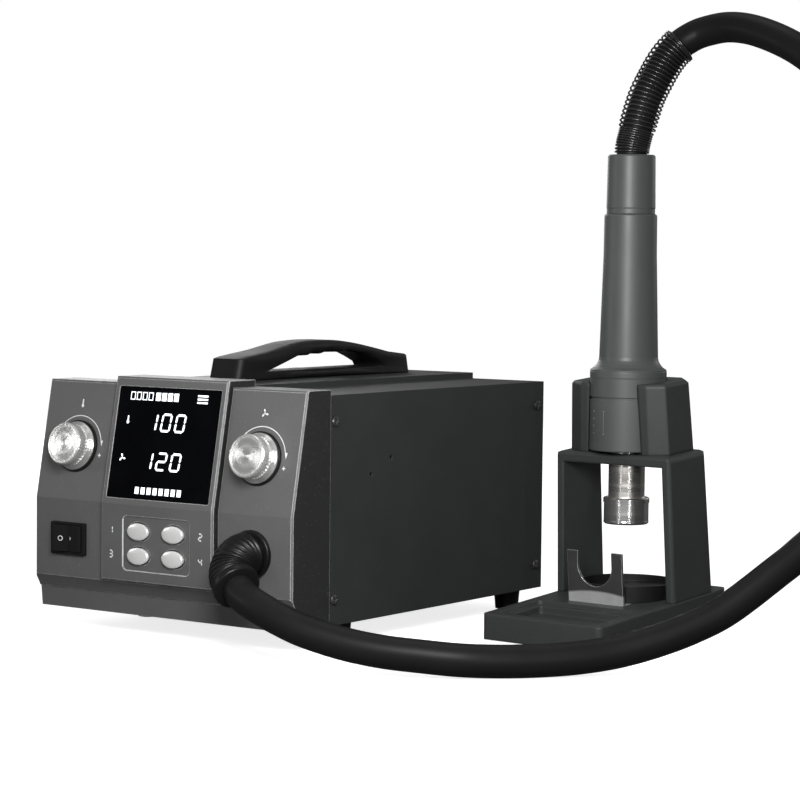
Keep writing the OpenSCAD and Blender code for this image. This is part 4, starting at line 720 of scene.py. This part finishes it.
class Bench:
    """Places nodes in one tree and joins their sockets."""

    def __init__(self, tree):
        self.tree = tree

    def put(self, kind, inputs=None, **settings):
        node = self.tree.nodes.new("ShaderNode" + kind)
        for name, value in settings.items():
            setattr(node, name, value)
        for key, value in (inputs or {}).items():
            if isinstance(value, bpy.types.NodeSocket):
                self.tree.links.new(value, node.inputs[key])
            else:
                node.inputs[key].default_value = value
        return node

    def math(self, operation, a, b=0.0, clamp=False):
        return self.put("Math", {0: a, 1: b}, operation=operation, use_clamp=clamp).outputs[0]

    def fit(self, value, by, start):
        """Value times by, plus start."""
        return self.put("Math", {0: value, 1: by, 2: start}, operation="MULTIPLY_ADD").outputs[0]

    def vector(self, operation, a, b=(0, 0, 0)):
        node = self.put("VectorMath", {0: a, 1: b}, operation=operation)
        return node.outputs["Value" if operation in ("DOT_PRODUCT", "LENGTH") else "Vector"]

    def stretch(self, vector, by):
        return self.put("VectorMath", {0: vector, "Scale": by}, operation="SCALE").outputs["Vector"]

    def split(self, vector):
        return self.put("SeparateXYZ", {0: vector}).outputs

    def mix(self, factor, a, b):
        return self.put("Mix", {0: factor, 6: a, 7: b}, data_type="RGBA").outputs[2]

    def noise(self, vector, scale, detail=3.0, roughness=0.5):
        return self.put("TexNoise", {"Vector": vector, "Scale": scale, "Detail": detail,
                                     "Roughness": roughness}).outputs[0]

    def spread(self, value, low, high):
        """Stretches values between low and high to 0 to 1."""
        return self.put("MapRange", {0: value, 1: low, 2: high, 3: 0.0, 4: 1.0}).outputs[0]

    def use(self, group_tree, inputs):
        return self.put("Group", inputs, node_tree=group_tree).outputs

    def place(self):
        return self.put("TexCoord").outputs["Object"]

    def facing(self):
        return self.put("NewGeometry").outputs["Normal"]

    def round_edge(self, radius, samples):
        """Facing that turns smoothly over the edges."""
        return self.put("Bevel", {"Radius": radius}, samples=samples).outputs["Normal"]


def new_group(name, inputs, outputs, vectors=()):
    """Group of nodes with its inputs (label, kind, value), number outputs and vector outputs."""
    tree = bpy.data.node_groups.new(name, "ShaderNodeTree")
    for label, kind, value in inputs:
        socket = tree.interface.new_socket(label, in_out="INPUT", socket_type="NodeSocket" + kind)
        if value is not None:
            socket.default_value = value
    for label in outputs:
        tree.interface.new_socket(label, in_out="OUTPUT", socket_type="NodeSocketFloat")
    for label in vectors:
        tree.interface.new_socket(label, in_out="OUTPUT", socket_type="NodeSocketVector")
    return Bench(tree), tree.nodes.new("NodeGroupInput").outputs, tree.nodes.new("NodeGroupOutput").inputs


def make_fine_grain():
    """Moulded or powder-coated grain, with patches of slightly different tone and a few specks."""
    bench, given, out = new_group("fine_grain", [("Place", "Vector", None), ("Grain", "Float", PAINT_GRAIN),
                                                 ("Patch", "Float", 25.0)], ["Height", "Tone", "Specks"])
    link = bench.tree.links.new
    patch = bench.noise(given["Place"], given["Patch"], 4.0, 0.6)
    speck = bench.noise(given["Place"], 900.0, 1.0)
    link(bench.noise(given["Place"], given["Grain"], 2.0), out["Height"])
    link(bench.spread(patch, 0.3, 0.7), out["Tone"])
    link(bench.spread(speck, 0.68, 0.76), out["Specks"])
    return bench.tree


def make_edge_wear_and_highlight():
    """Where the surface turns over an edge, broken up by noise: the mask for worn edges, and on the bezel for
    a painted highlight along its edges.
    """
    bench, given, out = new_group("edge_wear_and_highlight", [("Place", "Vector", None), ("Width", "Float", EDGE_WIDTH)],
                                  ["Wear"])
    same = bench.vector("DOT_PRODUCT", bench.round_edge(given["Width"], 4), bench.facing())
    edge = bench.spread(bench.math("SUBTRACT", 1.0, same), 0.01, 0.12)
    broken = bench.spread(bench.noise(given["Place"], 260.0, 4.0, 0.6), 0.25, 0.45)
    bench.tree.links.new(bench.math("MULTIPLY", edge, broken, clamp=True), out["Wear"])
    return bench.tree


def make_settled_dust_and_top_light():
    """Thin dust on faces that look up, which also lifts their colour as a painted lighter top."""
    bench, given, out = new_group("settled_dust_and_top_light", [("Place", "Vector", None), ("Amount", "Float", 0.2)],
                                  ["Dust"])
    lie = bench.spread(bench.split(bench.facing())[2], 0.35, 1.0)
    patch = bench.spread(bench.noise(given["Place"], 60.0, 5.0, 0.65), 0.35, 0.75)
    dust = bench.math("MULTIPLY", bench.math("MULTIPLY", lie, patch), given["Amount"], clamp=True)
    bench.tree.links.new(dust, out["Dust"])
    return bench.tree


def make_turned_lines():
    """Fine tool lines about an axis: rings on flat faces and lines round the sides."""
    bench, given, out = new_group("turned_lines", [("Local", "Vector", None), ("Axis", "Vector", (0, 0, 1)),
                                                   ("Lines", "Float", 4000.0), ("Slope", "Float", 0.2)],
                                  ["Streak"], ["Normal"])
    axis = given["Axis"]
    along = bench.vector("DOT_PRODUCT", given["Local"], axis)
    cross = bench.vector("CROSS_PRODUCT", given["Local"], axis)
    radius = bench.vector("LENGTH", cross)
    slopes = []
    for distance in (radius, along):
        cell = bench.math("FLOOR", bench.math("MULTIPLY", distance, given["Lines"]))
        line = bench.put("TexWhiteNoise", {"W": cell}, noise_dimensions="1D").outputs["Value"]
        slopes.append(bench.math("MULTIPLY", bench.math("SUBTRACT", line, 0.5), given["Slope"]))
    outward = bench.vector("NORMALIZE", bench.vector("CROSS_PRODUCT", axis, cross))
    normal = bench.vector("ADD", bench.facing(), bench.stretch(outward, slopes[0]))
    normal = bench.vector("NORMALIZE", bench.vector("ADD", normal, bench.stretch(axis, slopes[1])))
    pair = bench.put("CombineXYZ", {0: radius, 1: along, 2: 0.0}).outputs[0]
    streak = bench.noise(pair, 320.0)
    bench.tree.links.new(bench.spread(streak, 0.35, 0.65), out["Streak"])
    bench.tree.links.new(normal, out["Normal"])
    return bench.tree


FINE_GRAIN = make_fine_grain()
EDGE_WEAR_AND_HIGHLIGHT = make_edge_wear_and_highlight()
SETTLED_DUST_AND_TOP_LIGHT = make_settled_dust_and_top_light()
TURNED_LINES = make_turned_lines()


# Finishes: colours are linear, depths and widths in metres

def grey(value, warm=0.0):
    return (value * (1 + warm), value, value * (1 - warm), 1.0)


def scaled(colour, by):
    return (colour[0] * by, colour[1] * by, colour[2] * by, 1.0)


def new_surface(name, **constants):
    """Material with its shader; constants are set on the shader's own sockets."""
    material = bpy.data.materials.new(name)
    material.use_nodes = True
    bench = Bench(material.node_tree)
    bench.tree.nodes.clear()
    shader = bench.put("BsdfPrincipled")
    for key, value in constants.items():
        shader.inputs[key.replace("_", " ")].default_value = value
    output = bench.put("OutputMaterial")
    bench.tree.links.new(shader.outputs[0], output.inputs[0])
    return material, bench, shader


def join(bench, shader, **sockets):
    for key, value in sockets.items():
        bench.tree.links.new(value, shader.inputs[key.replace("_", " ")])


# Brightness of worn edges and specks against the colour, and spread of roughness between patches
WORN, METAL_WORN, SPECK = 2.2, 1.25, 2.6
ROUGH_SPREAD, METAL_ROUGH_SPREAD = 0.07, 0.12
DUST_AND_TOP_LIGHT_COLOUR, DUST_ROUGHER = grey(0.3, 0.03), 0.3
# How far a face must look aside before it takes the painted shade for sides, a darker colour that stands in
# for the shade on faces looking to the left and right
SHADED_SIDE_FROM, SHADED_SIDE_FULL = 0.8, 0.95


def coated(name, colour, roughness, grain=PAINT_GRAIN, depth=0.00002, tone=0.08, wear=0.3, worn=None,
           dust=0.0, width=EDGE_WIDTH, speck=0.0, sides=None, soft=None, **constants):
    """Paint, powder coat or moulded plastic; sides, when given, is a painted shade colour for faces that look
    to the left and right.
    """
    material, bench, shader = new_surface(name, **constants)
    place = bench.place()
    fine = bench.use(FINE_GRAIN, {"Place": place, "Grain": grain})
    edge = bench.use(EDGE_WEAR_AND_HIGHLIGHT, {"Place": place, "Width": width})["Wear"]
    base = bench.mix(fine["Tone"], scaled(colour, 1 - tone), scaled(colour, 1 + tone))
    # Painted shade: faces that look to the left and right take the darker colour given for sides
    if sides:
        aside = bench.math("ABSOLUTE", bench.split(bench.facing())[0])
        base = bench.mix(bench.spread(aside, SHADED_SIDE_FROM, SHADED_SIDE_FULL), base, sides)
    # Edge colour: worn edges, and on the bezel a bright painted highlight along its edges
    base = bench.mix(bench.math("MULTIPLY", edge, wear), base, worn or scaled(colour, WORN))
    rough = bench.fit(fine["Tone"], ROUGH_SPREAD, roughness - ROUGH_SPREAD / 2)
    if speck:
        base = bench.mix(bench.math("MULTIPLY", fine["Specks"], speck), base, scaled(colour, SPECK))
    # Faces that look up turn paler: partly real dust, partly a painted lighter top standing in for light from
    # above
    if dust:
        layer = bench.use(SETTLED_DUST_AND_TOP_LIGHT, {"Place": place, "Amount": dust})["Dust"]
        base = bench.mix(layer, base, DUST_AND_TOP_LIGHT_COLOUR)
        rough = bench.fit(layer, DUST_ROUGHER, roughness)
    bump = bench.put("Bump", {"Height": fine["Height"], "Distance": depth,
                              "Normal": bench.round_edge(soft or width, 6)})
    join(bench, shader, Base_Color=base, Roughness=rough, Normal=bump.outputs[0])
    return material


def bare_metal(name, colour, roughness, axis=(0, 0, 1), centre=(0, 0, 0), mirrored=False, lines=20000.0,
               slope=0.1, streak=0.12, stain=None, metal=1.0):
    """Turned or drawn metal with lines about its axis; mirrored for a pair on both sides of the station."""
    material, bench, shader = new_surface(name, Metallic=metal)
    place = bench.place()
    local = bench.vector("SUBTRACT", place, tuple(STATION) if mirrored else tuple(centre))
    if mirrored:
        part = bench.split(local)
        folded = bench.put("CombineXYZ", {0: bench.math("ABSOLUTE", part[0]), 1: part[1], 2: part[2]})
        local = bench.vector("SUBTRACT", folded.outputs[0], tuple(centre))
    line = bench.use(TURNED_LINES, {"Local": local, "Axis": tuple(axis), "Lines": lines, "Slope": slope})
    fine = bench.use(FINE_GRAIN, {"Place": place, "Grain": METAL_GRAIN, "Patch": 70.0})
    edge = bench.use(EDGE_WEAR_AND_HIGHLIGHT, {"Place": place, "Width": THIN_EDGE})["Wear"]
    base = bench.mix(line["Streak"], scaled(colour, 1 - streak), scaled(colour, 1 + streak / 2))
    if stain:
        base = bench.mix(bench.math("MULTIPLY", fine["Tone"], 0.35), base, stain)
    base = bench.mix(bench.math("MULTIPLY", edge, 0.5), base, scaled(colour, METAL_WORN))
    rough = bench.fit(line["Streak"], METAL_ROUGH_SPREAD, roughness - METAL_ROUGH_SPREAD / 2)
    join(bench, shader, Base_Color=base, Roughness=rough, Normal=line["Normal"])
    return material


# Height at which the bracket's sheet turns from a painted reflection at its foot to painted shade above, in
# shares of its own, and how much higher at its sides
SHADE_EDGE_FROM, SHADE_EDGE_FULL, SHADE_EDGE_DIP = 0.25, 0.29, 0.06


def sheet_steel(name, shaded_upper, foot):
    """Sheet bright at its foot from a painted reflection, and darker above its foot from painted shade."""
    material, bench, shader = new_surface(name, Metallic=0.7)
    place = bench.place()
    (left, _, low), (right, _, high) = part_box("nozzle_bracket")
    axes = bench.split(place)
    fine = bench.use(FINE_GRAIN, {"Place": place, "Grain": 700.0, "Patch": 90.0})
    edge = bench.use(EDGE_WEAR_AND_HIGHLIGHT, {"Place": place, "Width": EDGE_WIDTH})["Wear"]
    aside = bench.math("DIVIDE", bench.math("SUBTRACT", axes[0], (left + right) / 2), (right - left) / 2)
    dip = bench.math("MULTIPLY", bench.math("MULTIPLY", aside, aside), SHADE_EDGE_DIP)
    share = bench.math("ADD", bench.math("DIVIDE", bench.math("SUBTRACT", axes[2], low), high - low), dip)
    # Painted reflection at the foot, painted shade above it, over an edge that rises towards the sides
    base = bench.mix(bench.spread(share, SHADE_EDGE_FROM, SHADE_EDGE_FULL), scaled(foot, 1), scaled(shaded_upper, 1))
    base = bench.mix(bench.math("MULTIPLY", fine["Tone"], 0.25), base, scaled(shaded_upper, 1.6))
    base = bench.mix(bench.math("MULTIPLY", edge, 0.8), base, grey(0.85))
    rough = bench.fit(fine["Tone"], 0.1, 0.28)
    join(bench, shader, Base_Color=base, Roughness=rough, Normal=bench.round_edge(0.0005, 4))
    return material


def lit_white(name, strength):
    """Figures that shine through the display window."""
    material, bench, shader = new_surface(name, Roughness=0.4, Emission_Strength=strength)
    fine = bench.use(FINE_GRAIN, {"Place": bench.place(), "Patch": 160.0})
    glow = bench.mix(fine["Tone"], (0.86, 0.92, 1, 1), (1, 1, 1, 1))
    join(bench, shader, Base_Color=glow, Emission_Color=glow)
    return material


def display_glass(name):
    """Dark acrylic with faint smears."""
    material, bench, shader = new_surface(name, IOR=1.49, Specular_IOR_Level=0.04)
    place = bench.place()
    smear = bench.use(FINE_GRAIN, {"Place": place, "Grain": 1200.0, "Patch": 40.0})
    edge = bench.use(EDGE_WEAR_AND_HIGHLIGHT, {"Place": place, "Width": THIN_EDGE})["Wear"]
    base = bench.mix(smear["Tone"], (0.0013, 0.0014, 0.0019, 1), (0.0022, 0.0024, 0.003, 1))
    base = bench.mix(bench.math("MULTIPLY", edge, 0.4), base, grey(0.05))
    join(bench, shader, Base_Color=base, Roughness=bench.fit(smear["Tone"], 0.06, 0.09))
    return material


KNOB_AXIS = PANEL_NORMAL
KNOB_CENTRE = on_lean(KNOB_X, KNOB_U) - STATION
STAND_AXIS_FOOT = (HANDSET_X, HANDSET_Y, 0)

FINISH = {}


def finish(name, kind, *values, **settings):
    FINISH[name] = kind(name, *values, **settings)


# bezel_grey: the bright edge colour is a painted highlight along the bezel's edges
finish("bezel_grey", coated, grey(0.096), 0.42, grain=2600, depth=0.000014, tone=0.07, wear=0.85,
       # sides: painted shade on the bezel's faces that look aside
       worn=grey(0.8), speck=0.25, sides=grey(0.019), Specular_IOR_Level=0.35)
# case_paint: its dust also lightens the cover's top faces as painted light from above
finish("case_paint", coated, (0.028, 0.03, 0.0293, 1), 0.46, grain=1500, depth=0.00004, tone=0.1,
       wear=0.25, dust=0.08, speck=0.25, Specular_IOR_Level=0.22)
finish("stand_paint", coated, (0.034, 0.0365, 0.036, 1), 0.44, grain=1500, depth=0.00004, tone=0.1,
       wear=0.45, dust=0.04, speck=0.25, soft=0.002, Specular_IOR_Level=0.28)
finish("black_plastic", coated, grey(0.006), 0.5, grain=1400, depth=0.00004, tone=0.12, dust=0.03,
       Specular_IOR_Level=0.2)
finish("display_black", display_glass)
finish("led_board", coated, grey(0.75), 0.5, grain=1200, depth=0.00001, tone=0.03)
finish("circuit_board", coated, (0.012, 0.09, 0.03, 1), 0.4, grain=700, depth=0.00003, tone=0.25)
finish("button_silver", coated, (0.97, 0.97, 0.96, 1), 0.22, grain=2200, depth=0.000008, tone=0.03,
       wear=0.1, Metallic=0.5)
finish("knob_aluminium", bare_metal, (0.9, 0.9, 0.89, 1), 0.22, axis=KNOB_AXIS, centre=KNOB_CENTRE,
       mirrored=True, lines=40000, slope=0.48, streak=0.2, metal=0.85)
finish("zinc_steel", bare_metal, (0.6, 0.59, 0.56, 1), 0.36, stain=(0.45, 0.43, 0.38, 1))
finish("screw_black", coated, grey(0.03), 0.32, grain=1400, depth=0.00001, tone=0.2, wear=0.8,
       worn=grey(0.3), Metallic=0.6)
finish("rubber_black", coated, grey(0.0055), 0.34, grain=1600, tone=0.15, dust=0.03, width=THIN_EDGE,
       Specular_IOR_Level=0.22)
finish("hose_rubber", coated, grey(0.0085), 0.42, grain=900, depth=0.00001, tone=0.12, wear=0.0,
       dust=0.01, Specular_IOR_Level=0.1)
finish("spring_black", coated, grey(0.03), 0.2, grain=2600, depth=0.000008, tone=0.2, wear=0.0,
       width=0.0002, Metallic=0.5, Specular_IOR_Level=0.8)
finish("handset_grey", coated, (0.066, 0.07, 0.07, 1), 0.42, grain=2400, depth=0.000012, tone=0.05,
       Specular_IOR_Level=0.4)
finish("tube_steel", bare_metal, (0.68, 0.665, 0.64, 1), 0.27, centre=STAND_AXIS_FOOT, slope=0.07,
       streak=0.05, metal=0.95, stain=(0.52, 0.49, 0.44, 1))
finish("nozzle_steel", bare_metal, (0.82, 0.81, 0.8, 1), 0.2, centre=STAND_AXIS_FOOT, slope=0.04,
       streak=0.04, metal=0.95)
finish("ceramic_white", coated, (0.72, 0.7, 0.64, 1), 0.7, grain=1500, depth=0.00004, tone=0.06)
finish("heater_wire", bare_metal, (0.35, 0.31, 0.29, 1), 0.45, centre=STAND_AXIS_FOOT)
finish("brass", bare_metal, (0.78, 0.58, 0.25, 1), 0.3)
finish("transformer_steel", coated, grey(0.2, 0.04), 0.5, grain=800, depth=0.00005, tone=0.2)
# bracket_steel: the bright foot is a painted reflection and the dark upper part is painted shade
finish("bracket_steel", sheet_steel, grey(0.1), grey(0.9))
finish("cup_black", coated, grey(0.0075), 0.4, grain=1500, depth=0.00004, tone=0.12, wear=0.5, dust=0.03,
       Specular_IOR_Level=0.3)
finish("panel_white", coated, grey(0.78), 0.55, grain=2400, depth=0.00001, tone=0.03, wear=0.0)
finish("barrel_mark", coated, grey(0.2), 0.55, grain=2400, depth=0.00001, tone=0.03, wear=0.0)
finish("display_white", lit_white, 1.0)


# Nodes by finish, in the record's own groups
NODES_IN = {
    "bezel_grey": ["front_bezel", "center_fascia"],
    "display_black": ["display_window"],
    "led_board": ["display_module"],
    "circuit_board": ["display_board", "button_board", "main_board", "handset_board"],
    "button_silver": ["channel_button_1", "channel_button_2", "channel_button_3", "channel_button_4"],
    "knob_aluminium": ["temp_knob", "air_knob"],
    "black_plastic": ["knob_rings", "switch_body", "power_rocker", "gland_nut", "mains_inlet", "carry_handle",
                      "capacitors", "blower_housing", "blower_lid", "blower_impeller", "air_duct"],
    "zinc_steel": ["knob_encoders", "encoder_nuts", "bottom_chassis", "foot_screws", "handle_screws",
                   "blower_motor", "blower_bracket", "bracket_screws", "stand_screws"],
    "screw_black": ["cover_screws", "inlet_screws"],
    "case_paint": ["top_cover", "rear_panel"],
    "rubber_black": ["rubber_feet", "stand_pads", "hose_gland"],
    "brass": ["inlet_pins", "board_standoffs"],
    "transformer_steel": ["power_transformer"],
    "nozzle_steel": ["heat_sink", "nozzle"],
    "handset_grey": ["handset_sleeve", "handset_grip", "barrel_upper", "barrel_lower"],
    "tube_steel": ["nozzle_tube"],
    "ceramic_white": ["heater_former"],
    "heater_wire": ["heater_coil"],
    "stand_paint": ["stand_base", "stand_arch", "stand_cradle"],
    "cup_black": ["nozzle_cup"],
    "bracket_steel": ["nozzle_bracket"],
    "hose_rubber": ["air_hose"],
    "spring_black": ["spring_guard"],
}


def dress_nodes():
    for label, names in NODES_IN.items():
        for name in names:
            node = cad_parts[name]
            if not node.material_slots:
                node.data.materials.append(None)
            for slot in node.material_slots:
                slot.material = FINISH[label]


dress_nodes()
wear(hose, FINISH["hose_rubber"])
wear(spring_guard, FINISH["spring_black"])
wear(gland_boot, FINISH["rubber_black"])
wear(gland_flange, FINISH["rubber_black"])
wear(handle_shell, FINISH["black_plastic"])
for cap in button_caps:
    wear(cap, FINISH["button_silver"])
wear(display_figures, FINISH["display_white"])
for piece in (panel_print, button_print, rocker_print):
    wear(piece, FINISH["panel_white"])
wear(barrel_print, FINISH["barrel_mark"])


# Floor and light

FLOOR_HALF = 6
FLOOR_GLOW, FLOOR_DULL = 0.8, 0.15
WORLD_TOP, WORLD_LOW, WORLD_SEEN = 0.28, 0.12, 1.0
# Name, place in metres from the station's corner, side lengths and power
SOFTBOXES = [("key_light", (0.38, -0.4, 0.3), (0.2, 0.2), 4),
             ("strip_light", (0.85, -0.47, 0.17), (0.04, 0.34), 0.9),
             ("top_light", (0.0, 0.3, 1.2), (0.5, 0.5), 1),
             ("left_light", (-0.97, -0.66, 0.33), (0.3, 0.22), 1),
             ("low_light", (0.087, -0.81, 0.17), (0.04, 0.34), 0.5),
             ("back_left_light", (-1.2, 1.1, 0.6), (0.7, 0.7), 5),
             ("back_light", (0.5, 1.7, 0.5), (0.7, 0.5), 2)]
LOOKED_AT = (0.1, 0.0, 0.08)


def make_floor():
    """Pale floor that looks white, and gives the object only a little light from below."""
    bm = bmesh.new()
    height = cad_box[0][2]
    corners = [(-1, -1), (1, -1), (1, 1), (-1, 1)]
    bm.faces.new([bm.verts.new((x * FLOOR_HALF, y * FLOOR_HALF, height)) for x, y in corners])
    floor = link_mesh("floor", bm, smooth=False)
    material, bench, shader = new_surface("floor_white", Roughness=0.8, Emission_Strength=FLOOR_GLOW,
                                          Emission_Color=(1, 1, 1, 1))
    fine = bench.use(FINE_GRAIN, {"Place": bench.place(), "Grain": 300.0, "Patch": 3.0})
    join(bench, shader, Base_Color=bench.mix(fine["Tone"], grey(0.88), grey(0.9)))
    dull = bench.put("BsdfDiffuse", {"Color": grey(FLOOR_DULL)})
    seen = bench.put("LightPath").outputs["Is Camera Ray"]
    both = bench.put("MixShader", {0: seen, 1: dull.outputs[0], 2: shader.outputs[0]})
    output = next(node for node in bench.tree.nodes if node.type == "OUTPUT_MATERIAL")
    bench.tree.links.new(both.outputs[0], output.inputs[0])
    wear(floor, material)


def make_world():
    """Pale light from all round, brighter from above, plain white where the camera looks."""
    world = bpy.data.worlds.new("studio")
    world.use_nodes = True
    bench = Bench(world.node_tree)
    bench.tree.nodes.clear()
    up = bench.split(bench.put("TexCoord").outputs["Generated"])[2]
    light = bench.fit(bench.spread(up, 0.05, 0.75), WORLD_TOP - WORLD_LOW, WORLD_LOW)
    seen = bench.put("LightPath").outputs["Is Camera Ray"]
    strength = bench.put("Mix", {0: seen, 2: light, 3: WORLD_SEEN}, data_type="FLOAT").outputs[0]
    back = bench.put("Background", {"Color": (1, 1, 1, 1), "Strength": strength})
    bench.tree.links.new(back.outputs[0], bench.put("OutputWorld").inputs[0])
    scene.world = world


def make_lights():
    for name, place, size, power in SOFTBOXES:
        data = bpy.data.lights.new(name, "AREA")
        data.shape = "RECTANGLE"
        data.size, data.size_y = size
        data.energy = power
        light = bpy.data.objects.new(name, data)
        scene.collection.objects.link(light)
        light.visible_camera = False
        light.location = STATION + Vector(place)
        aim = STATION + Vector(LOOKED_AT) - light.location
        light.rotation_euler = aim.to_track_quat("-Z", "Y").to_euler()


make_floor()
make_world()
make_lights()
scene.view_settings.view_transform = "Standard"
